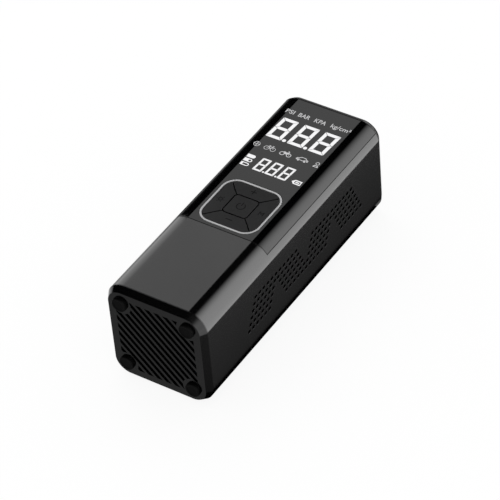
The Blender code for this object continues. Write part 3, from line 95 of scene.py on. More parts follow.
# The mesh behind the slots isn't in the CAD: a near-black sheet of painted shade for the inside of the body
MESH_ENDS_AT = (0.0392, 0.1558)
MESH_HEIGHTS = (0.0186, 0.042)
MESH_THICKNESS = 0.00025
MESH_GAP = 0.00003
MESH_CORNER = 0.0015
PANEL_AT = 0.0622
PANEL_THICKNESS = 0.0012
PANEL_WRAP = radians(60)
PANEL_SINK = 0.00003            # leaves room under the top of the body for the display's marks
LEDGE = 0.0015
WINDOW_HALF = 0.0202
WINDOW_END = HOUSING_END - SPIGOT_DEPTH
KEYPAD_AT = 0.0825
RING_SIZE = 0.0357
RING_WIDTH = 0.0011
RING_RADIUS = 0.0085
POWER_KEY_SIZE = 0.0144
POWER_KEY_RADIUS = 0.002       # 0.0014 in the CAD
KEY_GAP = 0.00045               # 0.0003 in the CAD
PAD_GAP = SEAM * 1.5
KEY_THICKNESS = 0.002
KEY_TOP = HEIGHT - 0.0001
KEY_REACH = 0.0122
STEM_RADIUS = 0.0014
STEM_TIP = 0.0557
BOARD_TOP = 0.0543
BOARD_POST_SIDE = 0.0227
BOARD_POST_INSET = 0.0044
BOARD_POST_RADIUS = 0.0022
BOARD_BORE_RADIUS = 0.00135
FITTING_Z = 0.031203
SOCKET_SIDE = 0.016
SOCKET_BORE = 0.0041
SOCKET_BORE_DEPTH = 0.0094
SOCKET_WAY = 0.0055
SOCKET_SEAT = 0.0067
SOCKET_SEAT_DEPTH = 0.0017
THREADS = 5
THREAD_PITCH = 0.0013
THREAD_DEPTH = 0.00045
BARBS = 2
BARB_PITCH = 0.0014
LAMP_SIDE = -0.012
LAMP_RADIUS = 0.008
LAMP_FLANGE = 0.0011
LENS_BACK = 0.0037
LENS_STEPS = 6
LENS_STEP = 0.0012
BOWL_NECK = 0.0032
BOWL_WALL = 0.0009
BOWL_DEPTH = 0.0044
SLEEVE_WALL = 0.0012
SLEEVE_DEPTH = 0.0071
REAR_CUT_DEPTH = 0.02
PORT_Z = 0.05075
PORT_WIDTH = 0.009
PORT_HEIGHT = 0.0033
PORT_LENGTH = 0.0074
PORT_SHEET = 0.0004
CONTACT_PITCH = 0.0005
MARK_LEVELS = (HEIGHT - PANEL_SINK - 0.00002, HEIGHT - 0.000002)
KEY_MARK_LEVELS = (KEY_TOP - 0.00002, KEY_TOP + 0.00003)
# Drawings are in mm, to the right of the body's left edge and towards the grille from these lines
DISPLAY_ZERO_AT = 0.17356
KEYPAD_ZERO_AT = 0.10556


def along(distance):
    """World y of a place given by its distance from the face of the grille."""
    return FACE_Y + distance


# ---------------- modelling by hand
def deselect():
    bpy.ops.object.select_all(action="DESELECT")


def take(piece):
    deselect()
    piece.select_set(True)
    bpy.context.view_layer.objects.active = piece


def put(name, data):
    item = bpy.data.objects.new(name, data)
    bpy.context.scene.collection.objects.link(item)
    return item


def named(name):
    """Names the shape just added and puts its place into its mesh."""
    piece = bpy.context.object
    piece.name = piece.data.name = name
    bpy.ops.object.transform_apply()
    return piece


def about_middle(half, start, end, low, high):
    """Corners of a box, between two distances and two heights."""
    return (-half, along(start), low), (half, along(end), high)


def block(name, low, high):
    bpy.ops.mesh.primitive_cube_add(size=1.0, location=[(a + b) / 2 for a, b in zip(low, high)])
    bpy.context.object.scale = [b - a for a, b in zip(low, high)]
    return named(name)


def rod(name, radius, start, end, steps=48):
    start, end = Vector(start), Vector(end)
    line = end - start
    bpy.ops.mesh.primitive_cylinder_add(
        vertices=steps, radius=radius, depth=line.length, location=(start + end) / 2,
        rotation=line.to_track_quat("Z", "Y").to_euler())
    return named(name)


def long_rod(name, radius, place, start, end, steps=56):
    """A round bar along the body, at an (x, z) place, between two distances."""
    return rod(name, radius, *((place[0], along(distance), place[1]) for distance in (start, end)), steps)


def open_up(piece, kind="FACE", chosen=None):
    """Opens a piece for editing, with all of it selected or the parts that a test picks."""
    take(piece)
    bpy.ops.object.mode_set(mode="EDIT")
    bpy.ops.mesh.select_mode(type=kind)
    bpy.ops.mesh.select_all(action="DESELECT" if chosen else "SELECT")
    if chosen:
        shape = bmesh.from_edit_mesh(piece.data)
        parts = {"FACE": shape.faces, "EDGE": shape.edges, "VERT": shape.verts}[kind]
        for part in [part for part in parts if chosen(part)]:
            part.select_set(True)
        shape.select_flush_mode()
        bmesh.update_edit_mesh(piece.data)


def close_up():
    bpy.ops.object.mode_set(mode="OBJECT")


def seal(distance):
    """Merges the points of an open piece, turns its faces outwards and closes it."""
    bpy.ops.mesh.select_all(action="SELECT")
    bpy.ops.mesh.remove_doubles(threshold=distance)
    bpy.ops.mesh.normals_make_consistent(inside=False)
    close_up()


def heal(piece, distance=2e-6):
    open_up(piece)
    bpy.ops.mesh.remove_doubles(threshold=distance)
    bpy.ops.mesh.dissolve_degenerate(threshold=distance)
    close_up()


def extrude(x=0.0, y=0.0, z=0.0):
    bpy.ops.mesh.extrude_region_move(TRANSFORM_OT_translate={"value": (x, y, z)})


def draw_in(thickness, depth=0.0):
    bpy.ops.mesh.inset(thickness=thickness, depth=depth, use_even_offset=True)


def runs_along(axis):
    """Picks the edges that run along an axis."""
    def chosen(edge):
        return abs((edge.verts[1].co - edge.verts[0].co).normalized()[axis]) > 0.999
    return chosen


def lies_at(axis, place):
    """Picks the faces or edges that lie at a place on an axis."""
    def chosen(part):
        return all(abs(vert.co[axis] - place) < 1e-6 for vert in part.verts)
    return chosen


def round_edges(piece, chosen, radius, steps):
    open_up(piece, "EDGE", chosen)
    bpy.ops.mesh.bevel(offset=radius, segments=steps, profile=0.5, affect="EDGES")
    close_up()


def rounded_block(name, low, high, axis, radius, steps=12):
    piece = block(name, low, high)
    round_edges(piece, runs_along(axis), radius, steps)
    return piece


def body_block(name, start, end, inset=0.0):
    """A length of the body's rounded square, drawn in by an inset."""
    corners = about_middle(WIDTH / 2 - inset, start, end, inset, HEIGHT - inset)
    return rounded_block(name, *corners, Y, EDGE_RADIUS - inset, FILLET_STEPS)


def hollow(piece, axis, wall):
    """Opens a straight piece from end to end and leaves a wall."""
    open_up(piece, "FACE", lambda face: abs(face.normal[axis]) > 0.999)
    draw_in(wall)
    bpy.ops.mesh.bridge_edge_loops()
    close_up()
    return piece


def tube(name, start, end, inset, wall):
    return hollow(body_block(name, start, end, inset), Y, wall)


def trim(piece, place, direction):
    """Cuts off what lies beyond a plane and closes the cut."""
    open_up(piece)
    bpy.ops.mesh.bisect(plane_co=place, plane_no=direction, use_fill=True, clear_outer=True)
    close_up()


def modify(piece, kind, **settings):
    modifier = piece.modifiers.new(kind, kind)
    for key, value in settings.items():
        setattr(modifier, key, value)
    take(piece)
    bpy.ops.object.modifier_apply(modifier=modifier.name)


def combine(piece, other, how, solver="EXACT"):
    modify(piece, "BOOLEAN", operation=how, solver=solver, object=other)
    bpy.data.objects.remove(other)
    return piece


def carve(piece, other):
    combine(piece, other, "DIFFERENCE")


def fuse(piece, other):
    combine(piece, other, "UNION")


def join(pieces, name):
    take(pieces[0])
    for piece in pieces:
        piece.select_set(True)
    bpy.ops.object.join()
    pieces[0].name = name
    return pieces[0]


def copies_of(piece, named_moves):
    """Moved copies of a piece, each with its own mesh and name, in its place."""
    twins = []
    for name, move in named_moves:
        mesh = piece.data.copy()
        mesh.transform(Matrix.Translation(move))
        mesh.name = name
        twins.append(put(name, mesh))
    bpy.data.objects.remove(piece)
    return twins


def soften(piece, width, steps=2, angle=50):
    modify(piece, "BEVEL", width=width, segments=steps, limit_method="ANGLE", angle_limit=radians(angle))


def smooth(piece, angle):
    """Smooth shading that keeps flat faces flat and hard edges hard."""
    take(piece)
    bpy.ops.object.shade_smooth_by_angle(angle=radians(angle))
    modify(piece, "WEIGHTED_NORMAL", keep_sharp=True)


def spun(name, profile, centre, steps=64):
    """Turns (radius, depth) points about a line along the body; depth runs from the hose end inwards."""
    bpy.ops.mesh.primitive_plane_add(size=GAP)
    piece = named(name)
    open_up(piece, "VERT")
    bpy.ops.mesh.delete(type="VERT")
    shape = bmesh.from_edit_mesh(piece.data)
    points = [shape.verts.new((centre[0] + r, along(LENGTH - d), centre[1])) for r, d in profile]
    for first, second in zip(points, points[1:] + points[:1]):
        if max(first.co.x, second.co.x) - centre[0] > 1e-9:
            shape.edges.new((first, second))
    bmesh.update_edit_mesh(piece.data)
    bpy.ops.mesh.select_all(action="SELECT")
    bpy.ops.mesh.spin(steps=steps, angle=tau, center=(centre[0], 0.0, centre[1]), axis=(0, 1, 0))
    seal(1e-6)
    return piece


def drawn(name, loops, low, high):
    """A flat drawing, loops in (x, y) with any holes, as a closed mesh between two heights."""
    curve = bpy.data.curves.new(name, "CURVE")
    curve.dimensions = "2D"
    curve.fill_mode = "BOTH"
    curve.extrude = (high - low) / 2
    for loop in loops:
        spline = curve.splines.new("POLY")
        spline.points.add(len(loop) - 1)
        for point, (x, y) in zip(spline.points, loop):
            point.co = (x, y, 0.0, 1.0)
        spline.use_cyclic_u = True
    take(put(name, curve))
    bpy.ops.object.convert(target="MESH")
    piece = bpy.context.object
    piece.location.z += (low + high) / 2
    bpy.ops.object.transform_apply()
    open_up(piece)
    seal(1e-7)
    return piece


def coat(piece, look):
    piece.data.materials.clear()
    piece.data.materials.append(LOOKS[look])


def done(piece, slot, replaced=None, body="body", look=None, shade=None):
    """Shades a finished piece if asked, coats it with its own look or that of its slot, parents it to its body
    and hides the node it replaces.
    """
    if shade:
        smooth(piece, shade)
    coat(piece, look or slot)
    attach(piece, body)
    if replaced:
        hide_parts(replaced)


# ---------------- material effects shared by several finishes
def add(tree, kind, links=None, **settings):
    """Adds a shader node; links maps its inputs to sockets or to plain values."""
    node = tree.nodes.new("ShaderNode" + kind)
    for key, value in settings.items():
        setattr(node, key, value)
    for key, value in (links or {}).items():
        socket = node.inputs[key]
        if isinstance(value, bpy.types.NodeSocket):
            tree.links.new(value, socket)
        else:
            socket.default_value = value
    return node


def calc(tree, how, first, second=0.0):
    return add(tree, "Math", {0: first, 1: second}, operation=how).outputs[0]


def product(tree, first, *others):
    for other in others:
        first = calc(tree, "MULTIPLY", first, other)
    return first


def remap(tree, value, low, high, to_low=0.0, to_high=1.0):
    return add(tree, "MapRange", dict(enumerate((value, low, high, to_low, to_high)))).outputs[0]


def spread(tree, value, low, high):
    """A number between two values, from a mask that lies about its middle."""
    return remap(tree, value, 0.3, 0.7, low, high)


def noise(tree, where, scale, detail, **more):
    return add(tree, "TexNoise", {"Vector": where, "Scale": scale, "Detail": detail, **more}).outputs["Fac"]


def shaded(tree, fac, dark, light):
    """A colour that runs from one, plain or a node's, to another with a mask."""
    start = dark if isinstance(dark, bpy.types.NodeSocket) else (*dark, 1.0)
    return add(tree, "Mix", {0: fac, 6: start, 7: (*light, 1.0)}, data_type="RGBA").outputs[2]


def new_group(name, results, **numbers):
    """A shader node group that reads a vector and some numbers and puts out numbers."""
    group = bpy.data.node_groups.new(name, "ShaderNodeTree")
    group.interface.new_socket(name="Vector", in_out="INPUT", socket_type="NodeSocketVector")
    for label, value in numbers.items():
        socket = group.interface.new_socket(name=label, in_out="INPUT", socket_type="NodeSocketFloat")
        socket.default_value = value
    for label in results:
        group.interface.new_socket(name=label, in_out="OUTPUT", socket_type="NodeSocketFloat")
    given, out = group.nodes.new("NodeGroupInput").outputs, group.nodes.new("NodeGroupOutput").inputs
    return group, given, out


def moulded_grain():
    """The fine spark-eroded skin of moulded plastic."""
    group, given, out = new_group("Moulded grain", ("Height", "Tone"), Scale=3000.0)
    where, scale = given["Vector"], given["Scale"]
    cells = add(group, "TexVoronoi", {"Vector": where, "Scale": scale}).outputs["Distance"]
    height = calc(group, "ADD", noise(group, where, scale, 3.0, Roughness=0.6), cells)
    group.links.new(height, out["Height"])
    group.links.new(noise(group, where, 26.0, 4.0), out["Tone"])
    return group


def fine_dust():
    """Sparse specks and a faint film, as a mask."""
    group, given, out = new_group("Fine dust", ("Mask",), Amount=0.5)
    where = given["Vector"]
    specks = add(group, "TexVoronoi", {"Vector": where, "Scale": 420.0}).outputs["Distance"]
    near = remap(group, specks, 0.02, 0.07, 1.0, 0.0)
    patch = remap(group, noise(group, where, 60.0, 2.0), 0.52, 0.7)
    group.links.new(product(group, near, patch, given["Amount"]), out["Mask"])
    return group


def worn_edges():
    """A mask along the outer edges, broken up as rubbing does."""
    group, given, out = new_group("Worn edges", ("Mask",), Amount=0.5)
    flat = add(group, "NewGeometry").outputs["Normal"]
    rounded_off = add(group, "Bevel", {"Radius": 0.0003}, samples=4).outputs["Normal"]
    turn = add(group, "VectorMath", {0: flat, 1: rounded_off}, operation="DOT_PRODUCT")
    edge = remap(group, turn.outputs["Value"], 0.98, 0.85)
    rub = remap(group, noise(group, given["Vector"], 300.0, 5.0), 0.48, 0.62)
    group.links.new(product(group, edge, rub, given["Amount"]), out["Mask"])
    return group


def turned_lines():
    group, given, out = new_group("Turned lines", ("Height",), Scale=900.0)
    group.links.new(noise(group, given["Vector"], given["Scale"], 4.0, Roughness=0.7), out["Height"])
    return group


GRAIN, DUST, WEAR, LINES = moulded_grain(), fine_dust(), worn_edges(), turned_lines()
METAL_WEAR = 0.3


def effect(tree, group, vector, **values):
    """What a shared effect puts out in a material, with that material's own values."""
    return add(tree, "Group", {"Vector": vector, **values}, node_tree=group).outputs


def new_material(name):
    material = bpy.data.materials.new(name)
    material.use_nodes = True
    return material, material.node_tree


def blank_material(name, constants):
    """A material, its tree, its shader with these fixed values, and the piece's own coordinates."""
    material, tree = new_material(name)
    shader = tree.nodes["Principled BSDF"]
    for key, value in constants.items():
        shader.inputs[key].default_value = value
    return material, tree, shader, add(tree, "TexCoord").outputs["Object"]


def feed(tree, shader, sources, height=None, strength=0.0, depth=0.0):
    """Links what changes over the surface to the shader, a height by way of a bump."""
    if height:
        bump = add(tree, "Bump", {"Height": height, "Strength": strength, "Distance": depth})
        sources["Normal"] = bump.outputs[0]
    for key, source in sources.items():
        tree.links.new(source, shader.inputs[key])


def plastic(name, colour, roughness, grain=3000.0, depth=0.05, dust=0.0, wear=0.0, **constants):
    """Moulded plastic or rubber: a grained skin, tones that drift, a little dust and rubbed edges."""
    material, tree, shader, where = blank_material(name, constants)
    skin = effect(tree, GRAIN, where, Scale=grain)
    base = shaded(tree, skin["Tone"], [c * 0.8 for c in colour], [c * 1.25 for c in colour])
    for group, amount, pale in ((DUST, dust, 0.16), (WEAR, wear, 0.05)):
        if amount:
            base = shaded(tree, effect(tree, group, where, Amount=amount)["Mask"], base, [pale] * 3)
    dull = spread(tree, skin["Tone"], roughness * 0.9, roughness * 1.1)
    feed(tree, shader, {"Base Color": base, "Roughness": dull}, skin["Height"], depth, 0.0001)
    return material


def metal(name, colour, roughness, stretch=(1.0, 1.0, 1.0), depth=0.08):
    """Metal with the lines of its making and slightly duller patches."""
    material, tree, shader, where = blank_material(name, {"Metallic": 1.0})
    drawn_out = add(tree, "Mapping", {"Vector": where, "Scale": stretch}).outputs[0]
    lines = effect(tree, LINES, drawn_out)["Height"]
    base = shaded(tree, effect(tree, GRAIN, where)["Tone"], [c * 0.82 for c in colour], colour)
    rubbed = effect(tree, WEAR, where, Amount=METAL_WEAR)["Mask"]
    base = shaded(tree, rubbed, base, [min(1.0, c * 1.15) for c in colour])
    dull = spread(tree, lines, roughness * 0.75, roughness * 1.3)
    feed(tree, shader, {"Base Color": base, "Roughness": dull}, lines, depth, 0.00005)
    return material


def lit_marks(name, strength):
    """Marks that shine through the dark window, a little uneven as over a light guide."""
    material, tree, shader, where = blank_material(name, {"Roughness": 0.3, "Emission Strength": strength})
    tone = effect(tree, GRAIN, where)["Tone"]
    feed(tree, shader, {
        "Base Color": shaded(tree, tone, (0.10, 0.10, 0.11), (0.16, 0.16, 0.16)),
        "Emission Color": shaded(tree, tone, (0.95, 0.95, 0.96), (1.0, 1.0, 1.0))})
    return material


def woven_screen(pitch=0.0004):
    """Fine black mesh that barely reflects, painted shade behind the slots: threads over and under, with
    painted shade in the holes between.
    """
    material, tree, shader, where = blank_material("Black shade mesh", {"Roughness": 0.7, "IOR": 1.1})
    apart = add(tree, "SeparateXYZ", {0: where}).outputs
    waves = [calc(tree, "SINE", product(tree, apart[axis], tau / pitch)) for axis in "YZ"]
    weave = calc(tree, "MAXIMUM", *waves)
    # painted shade: the holes between the threads are darker than the threads
    base = shaded(tree, remap(tree, weave, -0.2, 0.6), (0.0002, 0.0002, 0.0002), (0.0018, 0.0018, 0.0019))
    feed(tree, shader, {"Base Color": base}, weave, 0.6, 0.0001)
    return material


def light_guide():
    """Milky white plastic whose colour drifts at random, a painted glow standing for the lamps below it."""
    material, tree, shader, where = blank_material(
        "Light guide", {"Subsurface Weight": 0.15, "Subsurface Radius": (0.002, 0.002, 0.002)})
    # painted glow: the colour runs at random between two whites
    drift = noise(tree, where, 60.0, 2.0)
    feed(tree, shader, {
        "Base Color": shaded(tree, drift, (0.36, 0.36, 0.37), (0.45, 0.45, 0.45)),
        "Roughness": spread(tree, drift, 0.30, 0.42)})
    return material


def circuit_board():
    material, tree, shader, where = blank_material("Circuit board", {"Coat Weight": 0.3})
    black, white = (0.0, 0.0, 0.0, 1.0), (1.0, 1.0, 1.0, 1.0)
    tracks = add(tree, "TexBrick", {
        "Vector": where, "Scale": 260.0, "Mortar Size": 0.06, "Mortar Smooth": 0.1,
        "Color1": black, "Color2": black, "Mortar": white}).outputs["Color"]
    patch = noise(tree, where, 180.0, 1.0)
    mask = product(tree, tracks, calc(tree, "GREATER_THAN", patch, 0.52))
    feed(tree, shader, {
        "Base Color": shaded(tree, mask, (0.006, 0.070, 0.030), (0.030, 0.150, 0.060)),
        "Roughness": spread(tree, patch, 0.30, 0.45)}, mask, 0.3, 0.00005)
    return material


def clear_lens():
    material, tree, shader, where = blank_material(
        "Clear lens", {"Transmission Weight": 1.0, "IOR": 1.49, "Base Color": (0.93, 0.95, 0.96, 1.0)})
    feed(tree, shader, {"Roughness": spread(tree, noise(tree, where, 200.0, 2.0), 0.02, 0.07)})
    return material


# Finishes, by the slot of the record that they stand for or by a name of their own. Each has a name, colour
# and roughness. Plastics then have the grain's scale and depth, dust and wear; metals the stretch and depth of
# their lines
LOOKS = {
    "housing_plastic": plastic(
        "Satin black housing", (0.0012, 0.0012, 0.0013), 0.13, 2600.0, 0.02, 0.03, 0.05, IOR=1.65),
    "cap": plastic("Black end cap", (0.0009, 0.0009, 0.001), 0.16, 2400.0, 0.02, 0.03, 0.06, IOR=1.5),
    # painted shade: a darker, barely reflecting black for the sides of the slots and of the keys
    "painted_shade_wall": plastic("Matt black wall, painted shade", (0.0006, 0.0006, 0.0007), 0.6, 3000.0, 0.1, IOR=1.06),
    "panel_gloss": plastic(
        "Gloss display window", (0.0006, 0.0006, 0.0007), 0.07, 900.0, 0.002, 0.03, IOR=1.5),
    "key_plastic": plastic("Matt keypad", (0.0116, 0.0116, 0.012), 0.5, 3000.0, 0.1, 0.04, IOR=1.5),
    "key_mark": plastic("Key marks", (0.0035, 0.0035, 0.0037), 0.55, 3000.0, 0.05, IOR=1.25),
    "foot_rubber": plastic("Foot rubber", (0.0012, 0.0012, 0.0012), 0.55, 2000.0, 0.15, 0.06, IOR=1.2),
    "inner_plastic": plastic("Dark inner plastic", (0.05, 0.05, 0.055), 0.5, 2500.0, 0.08),
    "cell_wrap": plastic("Blue cell wrap", (0.015, 0.15, 0.31), 0.36, 1200.0, 0.03),
    "magnet": plastic("Dark ferrite", (0.035, 0.033, 0.034), 0.6, 1800.0, 0.25),
    "gear_nylon": plastic("Natural nylon", (0.62, 0.6, 0.52), 0.45, 2000.0, 0.06),
    "seal": plastic("Seal rubber", (0.018, 0.018, 0.018), 0.5, 2000.0, 0.1),
    "hose_silicone": plastic("Milky silicone", (0.56, 0.52, 0.46), 0.42, 1500.0, 0.05),
    "display_white": plastic("White display frame", (0.55, 0.55, 0.56), 0.48, 2200.0, 0.05),
    "tongue": plastic("Port tongue", (0.01, 0.01, 0.011), 0.42, 2600.0, 0.06),
    "ring_white": light_guide(),
    "mesh": woven_screen(),
    "board_green": circuit_board(),
    "lens_clear": clear_lens(),
    "figures": lit_marks("Lit figures", 0.8),
    "signs": lit_marks("Lit signs", 0.46),
    "steel": metal("Bright steel", (0.52, 0.52, 0.54), 0.26, (1.0, 0.05, 1.0)),
    "zinc_screw": metal("Zinc screws", (0.44, 0.44, 0.46), 0.3, (1.0, 1.0, 0.2)),
    "aluminium": metal("Cast aluminium", (0.6, 0.61, 0.63), 0.4, (1.0, 1.0, 1.0), 0.25),
    "mirror": metal("Bright reflector", (0.84, 0.85, 0.87), 0.1, (1.0, 1.0, 1.0), 0.01),
    "brass": metal("Turned brass", (0.72, 0.52, 0.22), 0.24, (1.0, 0.05, 1.0), 0.05),
    "nickel": metal("Nickel strip", (0.58, 0.56, 0.52), 0.28, (0.05, 1.0, 1.0)),
}


def finish_inner_parts():
    """Every CAD node gets the finish that stands for its slot in the record."""
    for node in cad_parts.values():
        coat(node, node.data.materials[0].name)


# ---------------- shells
def foot_places():
    """Name and (x, z) place of each foot."""
    for side, side_name in ((-1, "left"), (1, "right")):
        for level, level_name in ((1, "upper"), (-1, "lower")):
            yield f"{level_name}_{side_name}", (
                side * (WIDTH / 2 - FOOT_INSET), MIDDLE_Z + level * (MIDDLE_Z - FOOT_INSET))


def vent_places():
    """Distance and height of each slot of the zigzag; where two legs meet, a slot counts once."""
    half_wave = (VENTS_PER_LEG - 1) * VENT_PITCH + (VENT_ROWS - 1) * VENT_ROW_SHIFT
    places = {}
    for leg in range(VENT_LEGS):
        peak = VENT_FIRST_PEAK_AT + 2 * half_wave * (leg // 2)
        slant = -1 if leg % 2 == 0 else 1
        for row in range(VENT_ROWS):
            height = HEIGHT - (VENT_FIRST_ROW_DROP + row * VENT_ROW_PITCH)
            for step in range(VENTS_PER_LEG):
                distance = peak + slant * (step * VENT_PITCH + row * VENT_ROW_SHIFT)
                places[round(distance, 6), row] = (distance, height)
    return list(places.values())


def vent_cutter():
    """One oval with a funnel mouth and a small lead-in on each side, copied to every place."""
    radius = VENT_HEIGHT / 2
    throat = WIDTH / 2 - VENT_THROAT_DEPTH
    oval = rod("vent_oval", radius, (-throat, 0.0, 0.0), (throat, 0.0, 0.0), 14)
    for side in (-1, 1):
        open_up(oval, "VERT", lambda vert: vert.co.y * side > 0)
        bpy.ops.transform.translate(value=(0.0, side * (VENT_LENGTH / 2 - radius), 0.0))
        close_up()
    for side in (-1, 1):
        open_up(oval, "FACE", lies_at(X, side * throat))
        for out, longer, higher in VENT_MOUTH:
            extrude(side * out)
            bpy.ops.transform.resize(value=(1.0, longer, higher), center_override=(0.0, 0.0, 0.0))
        close_up()
    moves = [("vent", (0.0, along(distance), height)) for distance, height in vent_places()]
    return join(copies_of(oval, moves), "vents")


def wrap_band(name, start, end, inset, wall, wrap=PANEL_WRAP):
    """A strip that follows the top of the body and wraps over both long edges."""
    band = tube(name, start, end, inset, wall)
    for side in (1, -1):
        edge = (side * (WIDTH / 2 - EDGE_RADIUS), 0.0, HEIGHT - EDGE_RADIUS)
        trim(band, edge, (side * cos(wrap), 0.0, -sin(wrap)))
    return band


def housing_shell():
    shell = tube("housing_shell", HOUSING_START, HOUSING_END, 0.0, WALL)
    carve(shell, wrap_band("rebate", PANEL_AT, HOUSING_END + WALL, -WALL, WALL + PANEL_THICKNESS + GAP))
    heal(shell)
    corners = about_middle(WINDOW_HALF, PANEL_AT + LEDGE, WINDOW_END, HEIGHT - 2 * WALL, HEIGHT + WALL)
    carve(shell, block("window", *corners))
    heal(shell)
    soften(shell, 0.00012, 2, 60)
    top = HEIGHT - WALL / 2 - PANEL_THICKNESS
    foot = BOARD_TOP + GAP
    for distance in (PANEL_AT + LEDGE + BOARD_POST_INSET, WINDOW_END - BOARD_POST_INSET):
        for side in (-1, 1):
            x, y = side * BOARD_POST_SIDE, along(distance)
            fuse(shell, rod("board_post", BOARD_POST_RADIUS, (x, y, foot), (x, y, top), 24))
            carve(shell, rod("bore", BOARD_BORE_RADIUS, (x, y, foot - WALL), (x, y, foot + WALL), 16))
    start, end = HOUSING_START, HOUSING_START + SCREW_POST_LENGTH
    for _, place in foot_places():
        fuse(shell, long_rod("screw_post", SCREW_POST_RADIUS, place, start, end, 24))
        carve(shell, long_rod("bore", SCREW_WAY_RADIUS, place, start - GAP, end + GAP, 16))
    heal(shell)
    combine(shell, vent_cutter(), "DIFFERENCE", "MANIFOLD")
    done(shell, "housing_plastic", "housing", shade=35)
    paint_vent_shade(shell)


def paint_vent_shade(shell):
    """The sides of the slots get a darker, barely reflecting black: painted shade in the slots."""
    shell.data.materials.append(LOOKS["painted_shade_wall"])
    level = HEIGHT - VENT_FIRST_ROW_DROP - (VENT_ROWS - 1) * VENT_ROW_PITCH / 2
    for face in shell.data.polygons:
        x, y, z = face.center
        inside = WIDTH / 2 - WALL + 1e-5 < abs(x) < WIDTH / 2 - 8e-5
        if inside and abs(z - level) < VENT_BAND_HALF and abs(y) < VENT_BAND_REACH:
            face.material_index = 1


def vent_shade_screens():
    """A strip of near-black mesh behind the slots on each side, glued to the inside of the wall: painted shade
    for the inside of the body.
    """
    reach = WIDTH / 2 - WALL - MESH_GAP
    for side, name in ((-1, "left"), (1, "right")):
        sides = sorted((side * reach, side * (reach - MESH_THICKNESS)))
        corners = zip(sides, map(along, MESH_ENDS_AT), MESH_HEIGHTS)
        strip = rounded_block(f"vent_shade_screen_{name}", *corners, X, MESH_CORNER, 6)
        soften(strip, 0.00005, 1)
        done(strip, "inner_plastic", look="mesh", shade=35)


def sloped_plate(name, seat, face, inset):
    """An end plate with the body's outline at its seat, whose edge slopes in to a smaller face."""
    rim = seat + (GAP if face > seat else -GAP)
    plate = body_block(name, *sorted((seat, rim)))
    open_up(plate, "FACE", lies_at(Y, along(rim)))
    draw_in(inset, abs(face - seat) - GAP)
    close_up()
    return plate


def add_spigot(plate, seat, into):
    """The ring of a cap that slips into the tube."""
    open_up(plate, "FACE", lies_at(Y, along(seat)))
    for width, way in ((WALL + GAP, into), (SPIGOT_WALL, -into)):
        draw_in(width)
        extrude(y=way)
    close_up()


def grille_cutter():
    """Diagonal slots, kept inside the window and off the land round each foot."""
    corners = about_middle(
        WIDTH / 2 - GRILLE_MARGIN, -CAP_DEPTH, 2 * CAP_DEPTH, GRILLE_MARGIN, HEIGHT - GRILLE_MARGIN)
    slots = rounded_block("grille_slots", *corners, Y, RIB_WIDTH, 6)
    for _, place in foot_places():
        carve(slots, long_rod("land", FOOT_RADIUS + FOOT_LAND, place, -2 * CAP_DEPTH, 3 * CAP_DEPTH, 48))
    reach = WIDTH - 2 * GRILLE_MARGIN
    half = RIB_PITCH / 2 - RIB_WIDTH / 2
    count = int(reach * sqrt(2) / RIB_PITCH / 2) + 1
    bars = []
    for index in range(-count, count):
        level = RIB_SHIFT + (index + 0.5) * RIB_PITCH
        low = (-reach, -3 * CAP_DEPTH, level - half)
        bars.append(block("bar", low, (reach, 3 * CAP_DEPTH, level + half)))
    bars = join(bars, "bars")
    bars.rotation_euler = (0.0, radians(45), 0.0)
    bars.location = (0.0, along(0.0), MIDDLE_Z)
    bpy.ops.object.transform_apply()
    return combine(slots, bars, "INTERSECT")


def intake_cap():
    seat = HOUSING_START - SEAM
    cap = sloped_plate("intake_cap", seat, 0.0, CAP_INSET)
    add_spigot(cap, seat, SPIGOT_DEPTH)
    carve(cap, grille_cutter())
    holes = (("foot_seat", FOOT_RADIUS + SEAM, FOOT_SEAT + GAP, 48),
             ("head_seat", HEAD_SEAT_RADIUS, HEAD_SEAT_DEPTH, 24),
             ("screw_way", SCREW_WAY_RADIUS, 2 * CAP_DEPTH, 16))
    for _, place in foot_places():
        for name, radius, depth, steps in holes:
            carve(cap, long_rod(name, radius, place, -WALL, depth, steps))
    soften(cap, 0.00012)
    done(cap, "housing_plastic", "front_cap", look="cap", shade=28)


def feet():
    """A round rubber foot with a soft rim and a shallow dish, copied to the four corners."""
    foot = long_rod("foot", FOOT_RADIUS, (0.0, 0.0), FOOT_SEAT, -FOOT_PROUD)
    on_face = lies_at(Y, along(-FOOT_PROUD))
    open_up(foot, "FACE", on_face)
    draw_in(FOOT_RIM)
    draw_in(0.00025, -0.00018)
    close_up()
    outer = FOOT_RADIUS - GAP / 2
    round_edges(foot, lambda edge: on_face(edge) and Vector(edge.verts[0].co.xz).length > outer, 0.00045, 5)
    smooth(foot, 40)
    names, places = zip(*foot_places())
    moves = [(f"rubber_foot_{name}", (x, 0.0, z)) for name, (x, z) in zip(names, places)]
    for name, twin in zip(names, copies_of(foot, moves)):
        done(twin, "foot_rubber", f"foot_{name}")


def port_block(name, start, end, extra, radius):
    """The outline of the charging port, widened by a gap."""
    low, high = PORT_Z - PORT_HEIGHT / 2 - extra, PORT_Z + PORT_HEIGHT / 2 + extra
    return rounded_block(name, *about_middle(PORT_WIDTH / 2 + extra, start, end, low, high), Y, radius, 8)


